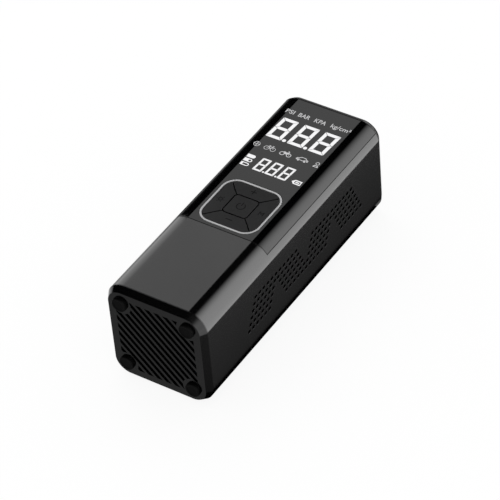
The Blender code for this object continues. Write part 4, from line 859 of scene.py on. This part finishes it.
def rear_cap():
    seat = HOUSING_END + SEAM
    cap = sloped_plate("hose_cap", seat, LENGTH, REAR_INSET)
    add_spigot(cap, seat, -SPIGOT_DEPTH)
    deep, out = LENGTH - REAR_CUT_DEPTH, LENGTH + WALL
    sleeve = LAMP_RADIUS + LAMP_FLANGE + GAP
    lamp_at, socket_at = (LAMP_SIDE, FITTING_Z), (SOCKET_SIDE, FITTING_Z)
    fuse(cap, long_rod("sleeve", sleeve + SLEEVE_WALL, lamp_at, seat - SLEEVE_DEPTH, seat))
    for name, radius, place, start, end in (
            ("cup_seat", sleeve, lamp_at, deep, seat + 0.0004),
            ("lamp_hole", LAMP_RADIUS + GAP, lamp_at, deep, out),
            ("socket_way", SOCKET_WAY, socket_at, deep, out),
            ("socket_seat", SOCKET_SEAT, socket_at, LENGTH - SOCKET_SEAT_DEPTH, out)):
        carve(cap, long_rod(name, radius, place, start, end))
    carve(cap, port_block("port_way", deep, out, GAP, PORT_HEIGHT / 2))
    soften(cap, 0.00025, 3, 40)
    done(cap, "housing_plastic", "rear_cap", look="cap", shade=28)


# ---------------- display and keypad
def keypad_block(name, half, low, high, radius, steps=20):
    """An upright square block with round corners about the middle of the keypad."""
    middle = along(KEYPAD_AT)
    return rounded_block(name, (-half, middle - half, low), (half, middle + half, high), Z, radius, steps)


def display_window():
    window = wrap_band(
        "display_window", PANEL_AT + PANEL_SEAM, HOUSING_END, PANEL_SINK, PANEL_THICKNESS - PANEL_SINK,
        PANEL_WRAP - PANEL_SEAM / EDGE_RADIUS)
    half, radius = RING_SIZE / 2 + SEAM, RING_RADIUS + SEAM
    carve(window, keypad_block("ring_way", half, HEIGHT - WALL, HEIGHT + WALL, radius))
    soften(window, 0.00015, 3)
    done(window, "panel_gloss", "display_panel", shade=35)


def light_ring():
    ring = keypad_block("light_guide_ring", RING_SIZE / 2, BOARD_TOP + GAP, HEIGHT, RING_RADIUS)
    hollow(ring, Z, RING_WIDTH)
    soften(ring, 0.00018, 3, 60)
    done(ring, "ring_white", "light_ring", shade=50)


def power_block(name, extra, low, high):
    """The power key's outline, widened by a gap."""
    return keypad_block(name, POWER_KEY_SIZE / 2 + extra, low, high, POWER_KEY_RADIUS + extra, 10)


def finish_key(key, name, spot):
    """Gives a key its stem and its finish, with painted shade on its sloping sides."""
    soften(key, 0.00032, 3, 60)
    fuse(key, rod("stem", STEM_RADIUS, (*spot, STEM_TIP), (*spot, KEY_TOP - KEY_THICKNESS / 2), 24))
    done(key, "key_plastic", f"key_{name}", f"{name}_key", shade=40)
    key.data.materials.append(LOOKS["painted_shade_wall"])
    # painted shade: faces that lean away from the top get the dark wall finish
    for face in key.data.polygons:
        face.material_index = int(face.normal.z < 0.80)


def keys():
    """The power key in the middle, and four more cut from one blank along its diagonals."""
    middle = along(KEYPAD_AT)
    bottom = KEY_TOP - KEY_THICKNESS
    finish_key(power_block("power_button", 0.0, bottom, KEY_TOP), "power", (0.0, middle))
    half = RING_SIZE / 2 - RING_WIDTH - PAD_GAP
    for name, degrees in (("plus", 90), ("minus", 270), ("mode", 0), ("lamp", 180)):
        key = keypad_block(f"{name}_button", half, bottom, KEY_TOP, RING_RADIUS - RING_WIDTH - PAD_GAP)
        heading = Vector((cos(radians(degrees)), sin(radians(degrees)), 0.0))
        start = Vector((0.0, middle, KEY_TOP)) + heading * KEY_GAP / sqrt(2)
        for turn in (135, -135):
            side = radians(degrees + turn)
            trim(key, start, (cos(side), sin(side), 0.0))
        carve(key, power_block("centre", KEY_GAP, KEY_TOP - 2 * KEY_THICKNESS, KEY_TOP + KEY_THICKNESS))
        finish_key(key, name, (heading.x * KEY_REACH, middle + heading.y * KEY_REACH))


# ---------------- drawings on the display and the keys
def ring_points(centre, radius, first=0.0, last=360.0, steps=32):
    """Points of an arc, angles in degrees; a full turn leaves out its last point."""
    stops = range(steps if last - first >= 360.0 else steps + 1)
    angles = [radians(first + (last - first) * step / steps) for step in stops]
    return [(centre[0] + radius * cos(angle), centre[1] + radius * sin(angle)) for angle in angles]


def bar(start, end, width):
    start, end = Vector(start), Vector(end)
    line = (end - start).normalized()
    side = Vector((-line.y, line.x)) * width / 2
    return [tuple(point) for point in (start + side, end + side, end - side, start - side)]


def wheel(centre, radius, width):
    return [ring_points(centre, radius), ring_points(centre, radius - width)]


def placed(loop, zero_at=DISPLAY_ZERO_AT):
    """Takes the mm of a drawing to the frame of the CAD."""
    return [(u / 1000 - WIDTH / 2, along(zero_at - v / 1000)) for u, v in loop]


def sign(name, drawings, look="signs", key=None):
    """Flat drawings made one piece, on the display or on a key; each is an outline with its holes."""
    zero_at, levels = (KEYPAD_ZERO_AT, KEY_MARK_LEVELS) if key else (DISPLAY_ZERO_AT, MARK_LEVELS)
    pieces = [drawn(name, [placed(loop, zero_at) for loop in loops], *levels) for loops in drawings]
    done(join(pieces, name), "key_plastic" if key else "display_white", None, key or "body", look)


def key_sign(key, drawings):
    sign(f"{key}_mark", drawings, "key_mark", f"{key}_key")


def segments(width, height, stroke, joint):
    """The seven mitred bars of a figure eight, up from its lower left corner."""
    middle, half = height / 2, stroke / 2
    inner = width - stroke - joint
    top = [(joint, height), (width - joint, height), (inner, height - stroke),
           (stroke + joint, height - stroke)]
    left = [(0.0, height - joint), (stroke, height - stroke - joint), (stroke, middle + half + joint),
            (half, middle + joint), (0.0, middle + joint)]
    centre = [(half + joint, middle), (stroke + joint, middle + half), (inner, middle + half),
              (width - half - joint, middle), (inner, middle - half), (stroke + joint, middle - half)]
    right = [(width - x, y) for x, y in left]
    return [top, left, right, centre] + [[(x, height - y) for x, y in shape] for shape in (top, left, right)]


def figures(name, lefts, low_v, width, height, stroke, joint, slant, dots, dot_radius):
    """Slanted figure eights and their points, as one piece."""
    loops = [[(left + x + slant * y, low_v - y) for x, y in shape]
             for left in lefts for shape in segments(width, height, stroke, joint)]
    loops += [ring_points(dot, dot_radius, steps=20) for dot in dots]
    sign(name, [[loop] for loop in loops], "figures")


def lettering(name, words, left, right, top, bottom):
    """Plain unit words, fitted into a rectangle of the display."""
    bpy.ops.object.text_add(location=(0.0, 0.0, 0.0))
    text = bpy.context.object
    text.data.body = words
    text.data.resolution_u = 3
    text.data.offset = 0.008
    text.data.fill_mode = "FRONT"
    bpy.ops.object.convert(target="MESH")
    text = bpy.context.object
    text.name = name
    xs = [vert.co.x for vert in text.data.vertices]
    ys = [vert.co.y for vert in text.data.vertices]
    (x0, y0), (x1, y1) = placed([(left, bottom), (right, top)])
    wide, tall = (x1 - x0) / (max(xs) - min(xs)), (y1 - y0) / (max(ys) - min(ys))
    text.scale = (wide, tall, 1.0)
    text.location = (x0 - min(xs) * wide, y0 - min(ys) * tall, MARK_LEVELS[0])
    bpy.ops.object.transform_apply()
    open_up(text)
    bpy.ops.mesh.remove_doubles(threshold=1e-7)
    extrude(z=MARK_LEVELS[1] - MARK_LEVELS[0])
    seal(1e-7)
    done(text, "display_white", look="signs")


def ball_sign(centre, radius, line):
    """A disc with four windows between its seams."""
    windows = []
    for quarter in range(0, 360, 90):
        near = ring_points(centre, line * 0.7, quarter + 45, quarter + 46, 1)[0]
        windows.append([near] + ring_points(centre, radius - line, quarter + 8, quarter + 82, 8))
    return [ring_points(centre, radius)] + windows


def display_marks():
    for name, words, left, right, top, bottom in (
            ("unit_psi", "PSI", 9.7, 14.8, 12.35, 15.45), ("unit_bar", "BAR", 17.5, 24.5, 12.35, 15.45),
            ("unit_kpa", "KPA", 27.6, 34.5, 12.35, 15.45), ("unit_kg_cm2", "kg/cm²", 37.6, 49.6, 12.0, 16.1)):
        lettering(name, words, left, right, top, bottom)
    figures("pressure_figures", (10.8, 24.0, 37.0), 36.9, 9.4, 17.3, 2.05, 0.17, 0.062,
            [(21.9, 36.0), (35.0, 36.0)], 1.1)
    figures("preset_figures", (19.1, 26.6, 34.2), 63.4, 5.3, 10.4, 1.15, 0.09, 0.085,
            [(25.7, 62.8), (33.3, 62.8)], 0.62)
    sign("ball_sign", [ball_sign((10.5, 44.8), 1.9, 0.26)])
    bars = ((16.75, 45.15, 17.9, 43.4, 0.26), (17.9, 43.4, 19.9, 43.4, 0.26), (18.6, 45.2, 17.7, 43.0, 0.26),
            (18.6, 45.2, 19.9, 43.3, 0.26), (20.6, 45.15, 19.7, 42.6, 0.26), (17.2, 42.9, 18.2, 42.9, 0.3),
            (19.2, 42.6, 20.2, 42.6, 0.26))
    sign("bicycle_sign", [wheel((x, 45.15), 1.55, 0.28) for x in (16.75, 20.6)] + [
        [bar((x0, y0), (x1, y1), width)] for x0, y0, x1, y1, width in bars])
    sign("motorcycle_sign", [
        wheel((26.4, 45.2), 1.45, 0.42), wheel((30.5, 45.2), 1.45, 0.42),
        [[(26.5, 43.5), (27.6, 43.2), (28.5, 43.7), (29.4, 43.1), (29.9, 43.6), (29.3, 44.9), (27.9, 45.2),
          (27.0, 44.4)]],
        [bar((29.5, 42.5), (30.5, 45.1), 0.34)], [bar((28.9, 42.5), (29.8, 42.5), 0.34)]])
    body = [(35.0, 44.9), (35.4, 44.1), (36.6, 43.7), (37.5, 42.9), (40.0, 42.9), (41.0, 43.8), (42.1, 44.2),
            (42.3, 45.5), (41.6, 45.6), (41.3, 45.0), (40.8, 44.8), (40.2, 45.0), (39.9, 45.6), (37.5, 45.6),
            (37.2, 45.0), (36.7, 44.8), (36.1, 45.0), (35.8, 45.6), (35.1, 45.5)]
    glass = [(35.6, 44.85), (35.8, 44.4), (36.8, 44.1), (37.7, 43.3), (39.8, 43.3), (40.7, 44.1),
             (41.8, 44.5), (41.8, 44.9), (40.9, 44.4), (39.9, 44.7), (39.5, 45.2), (37.6, 45.2),
             (37.1, 44.6), (36.2, 44.5)]
    sign("car_sign", [[body, glass]] + [[ring_points((x, 45.75), 0.6, steps=16)] for x in (36.65, 40.5)])
    sign("beacon_sign", [
        wheel((47.6, 43.7), 1.15, 0.34),
        [[(46.0, 46.7), (46.5, 45.3), (48.7, 45.3), (49.2, 46.7)],
         [(46.8, 46.3), (47.0, 45.7), (48.2, 45.7), (48.4, 46.3)]]])
    blocks = []
    for top in (53.6, 57.0, 60.4):
        end = ring_points((14.7, top + 1.25), 1.25, -90, 90, 10)
        blocks.append([[(11.0, top)] + end + [(11.0, top + 2.5)]])
    blocks[1].append(ring_points((14.55, 58.25), 0.78, steps=14))
    blocks[2].append([(12.3, 61.0)] + ring_points((14.7, 61.65), 0.72, -80, 80, 8) + [(12.3, 62.3)])
    sign("mode_blocks", blocks, "figures")
    tag = [(42.7, 61.65), (44.3, 60.0), (48.4, 60.0), (48.4, 63.3), (44.3, 63.3)]
    hole = [(44.5, 60.75), (47.8, 60.75), (47.8, 62.55), (44.5, 62.55)]
    tail = [(45.0, 61.25), (47.2, 61.25), (47.2, 62.05), (45.0, 62.05)]
    sign("charge_tag", [[tag, hole], [tail]], "figures")


def key_marks():
    key_sign("plus", [[[
        (29.75, 8.75), (30.25, 8.75), (30.25, 10.25), (31.75, 10.25), (31.75, 10.75), (30.25, 10.75),
        (30.25, 12.25), (29.75, 12.25), (29.75, 10.75), (28.25, 10.75), (28.25, 10.25), (29.75, 10.25)]]])
    key_sign("minus", [[bar((28.0, 34.5), (32.0, 34.5), 0.5)]])
    outer, inner = (ring_points((30.0, 23.0), radius, -60, 240, 30) for radius in (2.6, 2.1))
    key_sign("power", [[outer + inner[::-1]], [bar((30.0, 19.7), (30.0, 22.6), 0.5)]])
    lamp_at = (17.5, 23.0)
    rays = [[bar(*(ring_points(lamp_at, radius, angle, angle + 1, 1)[0] for radius in (1.75, 2.45)), 0.36)]
            for angle in range(0, 360, 60)]
    key_sign("lamp", [wheel(lamp_at, 1.3, 0.42)] + rays)
    key_sign("mode", [[[
        (41.1, 24.4), (41.1, 21.6), (41.6, 21.6), (42.5, 23.0), (43.4, 21.6), (43.9, 21.6), (43.9, 24.4),
        (43.45, 24.4), (43.45, 22.3), (42.5, 23.8), (41.55, 22.3), (41.55, 24.4)]]])


# ---------------- hose end
def hose_fitting():
    """The brass socket: chamfered mouth, thread grooves in the bore, air way through the barb."""
    bore, deep, depth = SOCKET_BORE, SOCKET_BORE + THREAD_DEPTH, SOCKET_BORE_DEPTH
    profile = [(bore + 0.0005, GAP), (bore, GAP + 0.0005)]
    for turn in range(THREADS):
        at = 0.0017 + turn * THREAD_PITCH
        profile += [(bore, at), (deep, at + 0.00035), (deep, at + 0.0006), (bore, at + 0.00095)]
    profile += [(bore, depth), (0.0022, depth + 0.0002), (0.0013, depth + 0.0009), (0.0009, depth + 0.0012),
                (0.0009, 0.0154), (0.0014, 0.0154), (0.0018, 0.0150)]
    for barb in range(BARBS):
        at = 0.0145 - barb * BARB_PITCH
        profile += [(0.0014, at), (0.0018, at - 0.0009)]
    profile += [(0.0018, 0.0114), (0.0052, 0.0114), (0.0052, 0.0014), (0.0064, 0.0014),
                (0.0064, GAP + 0.0003), (0.0061, GAP)]
    fitting = spun("brass_socket", profile, (SOCKET_SIDE, FITTING_Z))
    done(fitting, "brass", "hose_socket", shade=30)


def lamp():
    """Lens with stepped rings on its inner side, held from behind by its flange, and the bowl behind it."""
    rim, flange = LAMP_RADIUS, LAMP_RADIUS + LAMP_FLANGE
    profile = [(0.0, GAP), (0.0048, GAP + 0.00013), (rim - 0.0002, GAP + 0.0004), (rim, GAP + 0.0006),
               (rim, 0.0029), (flange, 0.0029), (flange, LENS_BACK)]
    for step in range(LENS_STEPS):
        radius = rim - 0.0008 - step * LENS_STEP
        profile += [(radius, LENS_BACK), (radius - 0.0002, 0.0031)]
    profile += [(0.0, 0.0034)]
    lens = spun("lamp_window", profile, (LAMP_SIDE, FITTING_Z), 72)
    done(lens, "lens_clear", "lamp_lens", shade=30)
    start = 0.0026 + LAMP_FLANGE + 2 * GAP
    inner = []
    for step in range(9):
        share = step / 8
        radius = BOWL_NECK + (flange - BOWL_WALL - BOWL_NECK) * sqrt(1 - share)
        inner.append((radius, start + BOWL_DEPTH * share))
    outer = [(radius + BOWL_WALL, depth) for radius, depth in reversed(inner)]
    bowl = spun("lamp_bowl", inner + outer, (LAMP_SIDE, FITTING_Z), 72)
    done(bowl, "aluminium", "lamp_reflector", look="mirror", shade=40)


def charging_port():
    """Flat steel shell with rounded ends, its dark tongue a piece of its own, with contacts on it."""
    end = LENGTH - GAP
    start = end - PORT_LENGTH
    shell = port_block("port_shell", start, end, 0.0, PORT_HEIGHT / 2 - 0.0003)
    open_up(shell, "FACE", lies_at(Y, along(end)))
    draw_in(PORT_SHEET)
    extrude(y=2 * PORT_SHEET - PORT_LENGTH)
    close_up()
    soften(shell, 0.00008)
    done(shell, "steel", "usb_port", shade=35)
    tip = end - 0.0012
    corners = about_middle(0.00325, start + 0.0007, tip, PORT_Z - 0.00035, PORT_Z + 0.00035)
    tongue = block("port_tongue", *corners)
    soften(tongue, 0.00012)
    done(tongue, "inner_plastic", look="tongue", shade=35)
    corners = about_middle(0.00014, start + 0.0012, tip - 0.0004, PORT_Z + 0.00033, PORT_Z + 0.00039)
    contact = block("contact", *corners)
    soften(contact, 0.00002, 1)
    copies = copies_of(contact, [("contact", (step * CONTACT_PITCH, 0.0, 0.0)) for step in range(-5, 6)])
    done(join(copies, "port_contacts"), "brass")


# ---------------- stage, light and camera
WHITE = (1.0, 1.0, 1.0, 1.0)
CAMERA_PLACE = (0.64061, -0.87841, 1.01261)
CAMERA_RIGHT = (0.8410, 0.5369, -0.0674)
CAMERA_DOWN = (0.3202, -0.5942, -0.7378)
CAMERA_FORWARD = (-0.4362, 0.5989, -0.6716)
CAMERA_LENS = 201.4
SENSOR_WIDTH = 36.0
LAMP_PLACE = Vector((-1.4, 1.2, 2.0))
LAMP_SIZE = 2.0
LAMP_ENERGY = 14.0
WORLD_LIGHT, WORLD_SEEN = 0.93, 1.0
FLOOR_TONE = 0.96
FLOOR_GLOW = 0.90
# Angles round the body in degrees, 0 up and 90 to the right, each with its glow
SCREEN_RADIUS = 1.6
SCREEN_HALF = 4.0
TOP_BOX = ((-37.5, 1.07), (-28.5, 1.07))
RIGHT_BOX = ((8, 0.0), (13, 0.25), (17, 0.70), (27, 1.55), (37, 2.30), (47, 2.80), (57, 3.00), (77, 3.00),
             (95, 2.90))
RIGHT_BOX_FRONT = (0.0, 0.03, 0.06, 0.12, 0.50, 1.20, 1.60, 1.60, 1.50)
# Glow of the screens that the left rounded edge mirrors, by the lean of that edge: housing, then panel
LEFT_BOX = ((1.2, 1.07, 0.0), (5, 1.26, 0.0), (10, 1.46, 0.0), (20, 1.50, 0.0), (30, 1.42, 0.03),
            (33, 1.20, 0.04))
LEFT_BOX_REACH = 0.07
LEFT_CARD = ((55, 0.45, 0.03), (50, 0.48, 0.03), (45, 0.50, 0.03), (40, 0.58, 0.03), (36, 0.80, 0.03),
             (32.5, 1.10, 0.03))
# Cards on the table: x and glow, and how far the right ones give way towards the grille
CARD_Z = -0.0002
SIDE_CARD = ((0.0, 0.0), (0.0362, 0.0), (0.0375, 0.10), (0.060, 0.14))
SIDE_CARD_END = 0.14
SIDE_CARD_EDGE = 0.074
LEFT_SIDE_CARD_EDGE = 0.0685
FAR_CARD = ((0.0, 2.3), (0.03, 2.5), (0.13, 2.8), (3.0, 2.9))
FAR_CARD_SHARES = (0.6, 0.6, 1.0, 1.0)
CARD_ENDS = (-SCREEN_HALF, -0.0865, -0.03, SCREEN_HALF)
CARD_SHIFTS = (0.030, 0.018, 0.0, 0.0)
END_CARD_GLOW = 0.29


def ray_kind(tree):
    """1 for what the camera sees, also by reflection or through glass."""
    path = add(tree, "LightPath").outputs
    seen = calc(tree, "MAXIMUM", path["Is Camera Ray"], path["Is Glossy Ray"])
    return calc(tree, "MAXIMUM", seen, path["Is Transmission Ray"])


def white_world():
    world = bpy.data.worlds.new("Light tent")
    bpy.context.scene.world = world
    world.use_nodes = True
    tree = world.node_tree
    background = tree.nodes["Background"].inputs
    background["Color"].default_value = WHITE
    tree.links.new(remap(tree, ray_kind(tree), 0.0, 1.0, WORLD_LIGHT, WORLD_SEEN), background["Strength"])


def stage_material(name):
    """A material with an empty output, its tree, and the socket of its surface."""
    material, tree = new_material(name)
    tree.nodes.remove(tree.nodes["Principled BSDF"])
    return material, tree, tree.nodes["Material Output"].inputs["Surface"]


def pale_floor():
    """Pale table that keeps the object's soft shadow."""
    bpy.ops.mesh.primitive_plane_add(size=12.0, location=(0.0, 0.0, -0.0005))
    floor = named("floor")
    material, tree, surface = stage_material("Pale table")
    lit = add(tree, "BsdfDiffuse", {"Color": (FLOOR_TONE, FLOOR_TONE, FLOOR_TONE, 1.0)})
    white = add(tree, "Emission", {"Color": WHITE, "Strength": 1.0})
    share = product(tree, ray_kind(tree), FLOOR_GLOW)
    both = add(tree, "MixShader", {0: share, 1: lit.outputs[0], 2: white.outputs[0]})
    tree.links.new(both.outputs[0], surface)
    floor.data.materials.append(material)


def glow_material():
    """Gives off the light that each point of a screen carries."""
    material, tree, surface = stage_material("Screen glow")
    level = add(tree, "Attribute", attribute_name="glow").outputs["Fac"]
    tree.links.new(add(tree, "Emission", {"Color": WHITE, "Strength": level}).outputs[0], surface)
    return material


def grid_screen(name, rows, levels, material):
    """A screen from rows of points, with the glow of each; only gloss sees it."""
    wide = len(rows[0])
    mesh = bpy.data.meshes.new(name)
    corners = [r * wide + c for r in range(len(rows) - 1) for c in range(wide - 1)]
    mesh.from_pydata(sum(rows, []), [], [(c, c + 1, c + wide + 1, c + wide) for c in corners])
    mesh.attributes.new("glow", "FLOAT", "POINT").data.foreach_set("value", sum(map(list, levels), []))
    mesh.materials.append(material)
    screen = put(name, mesh)
    for kind in ("camera", "diffuse", "shadow", "transmission", "volume_scatter"):
        setattr(screen, f"visible_{kind}", False)


def mirrored(lean, y):
    """Where the camera sees a point of the left rounded edge, and where it looks from there by reflection."""
    angle = radians(-lean)
    normal = Vector((sin(angle), 0.0, cos(angle)))
    place = Vector((EDGE_RADIUS - WIDTH / 2, y, HEIGHT - EDGE_RADIUS)) + normal * EDGE_RADIUS
    view = (bpy.context.scene.camera.matrix_world.translation - place).normalized()
    return place, 2 * normal.dot(view) * normal - view


def left_screens(material):
    """A box beside the left edge and a card on the table, split where the edge mirrors the panel's seam."""
    ends = (along(-0.004), along(PANEL_AT), along(PANEL_AT), along(LENGTH + 0.2))
    for name, stops, reach in (
            ("soft_box_left", LEFT_BOX, lambda place, ray: LEFT_BOX_REACH),
            ("left_card", LEFT_CARD, lambda place, ray: (CARD_Z - place.z) / ray.z)):
        rows, levels = [], []
        for part, y in enumerate(ends):
            hits = [mirrored(lean, y) for lean, _, _ in stops]
            rows.append([place + ray * reach(place, ray) for place, ray in hits])
            levels.append([stop[1 + part // 2] for stop in stops])
        for half in (slice(0, 2), slice(2, 4)):
            grid_screen(name, rows[half], levels[half], material)


def round_screen(name, stops, ys, material, radius=SCREEN_RADIUS, front=None):
    """A strip of a tent round the body, whose first half may glow otherwise."""
    rows = [[(radius * sin(radians(angle)), y, radius * cos(radians(angle)) + MIDDLE_Z)
             for angle, _ in stops] for y in ys]
    levels = [[level for _, level in stops]] * len(ys)
    if front:
        levels[:2] = [front, front]
    grid_screen(name, rows, levels, material)


def reflected_screens():
    """Soft boxes and dark flags set round the body."""
    material = glow_material()
    far = SCREEN_HALF
    dark = [(angle, 0.0) for angle in range(-180, 181, 6)]
    round_screen("dark_surround", dark, (-far, far), material, SCREEN_RADIUS + 0.10)
    round_screen("soft_box_top", TOP_BOX, (0.5, 3.0), material)
    behind = [(angle, 0.5) for angle in range(-60, 61, 6)]
    round_screen("soft_box_behind", behind, (-3.0, -0.95), material)
    round_screen("soft_box_right", RIGHT_BOX, (-far, -0.6, 0.9, far), material, front=RIGHT_BOX_FRONT)
    left_screens(material)
    glow = [level for _, level in SIDE_CARD] + [SIDE_CARD_END]
    rows = [[(-x, y, CARD_Z) for x in (*(x for x, _ in SIDE_CARD), LEFT_SIDE_CARD_EDGE)] for y in (-1.0, 1.0)]
    grid_screen("side_card", rows, [glow] * 2, material)
    edges = [(y, SIDE_CARD_EDGE + shift) for y, shift in zip(CARD_ENDS, CARD_SHIFTS)]
    rows = [[(x, y, CARD_Z) for x in (*(x for x, _ in SIDE_CARD), edge)] for y, edge in edges]
    grid_screen("side_card", rows, [glow] * 4, material)
    rows = [[(edge + x, y, CARD_Z) for x, _ in FAR_CARD] for y, edge in edges]
    levels = [[level * share for _, level in FAR_CARD] for share in FAR_CARD_SHARES]
    grid_screen("far_card", rows, levels, material)
    for side in (-1, 1):
        rows = [[(x, side * y, CARD_Z + 0.00005) for x in (-0.5, 0.034)] for y in (0.0865, 3.0)]
        grid_screen("end_card", rows, [[END_CARD_GLOW] * 2] * 2, material)


def lamps():
    """One broad soft light from above and behind on the left; the world fills in the rest."""
    light = bpy.data.lights.new("soft_light", "AREA")
    light.shape = "RECTANGLE"
    light.size = light.size_y = LAMP_SIZE
    light.energy = LAMP_ENERGY
    item = put("soft_light", light)
    item.location = LAMP_PLACE
    item.rotation_euler = (-LAMP_PLACE).to_track_quat("-Z", "Y").to_euler()
    item.visible_glossy = False


def camera():
    data = bpy.data.cameras.new("camera")
    data.lens = CAMERA_LENS
    data.sensor_width = SENSOR_WIDTH
    data.clip_start = 0.1
    data.clip_end = 50.0
    item = put("camera", data)
    turn = Matrix((CAMERA_RIGHT, -Vector(CAMERA_DOWN), -Vector(CAMERA_FORWARD))).transposed()
    item.matrix_world = Matrix.Translation(CAMERA_PLACE) @ turn.to_4x4()
    bpy.context.scene.camera = item


for build in (
        camera, white_world, pale_floor, reflected_screens, lamps, finish_inner_parts, housing_shell,
        vent_shade_screens, intake_cap, feet, rear_cap, display_window, light_ring, keys, display_marks, key_marks,
        hose_fitting, lamp, charging_port):
    build()

bpy.context.scene.view_settings.view_transform = "Standard"
deselect()
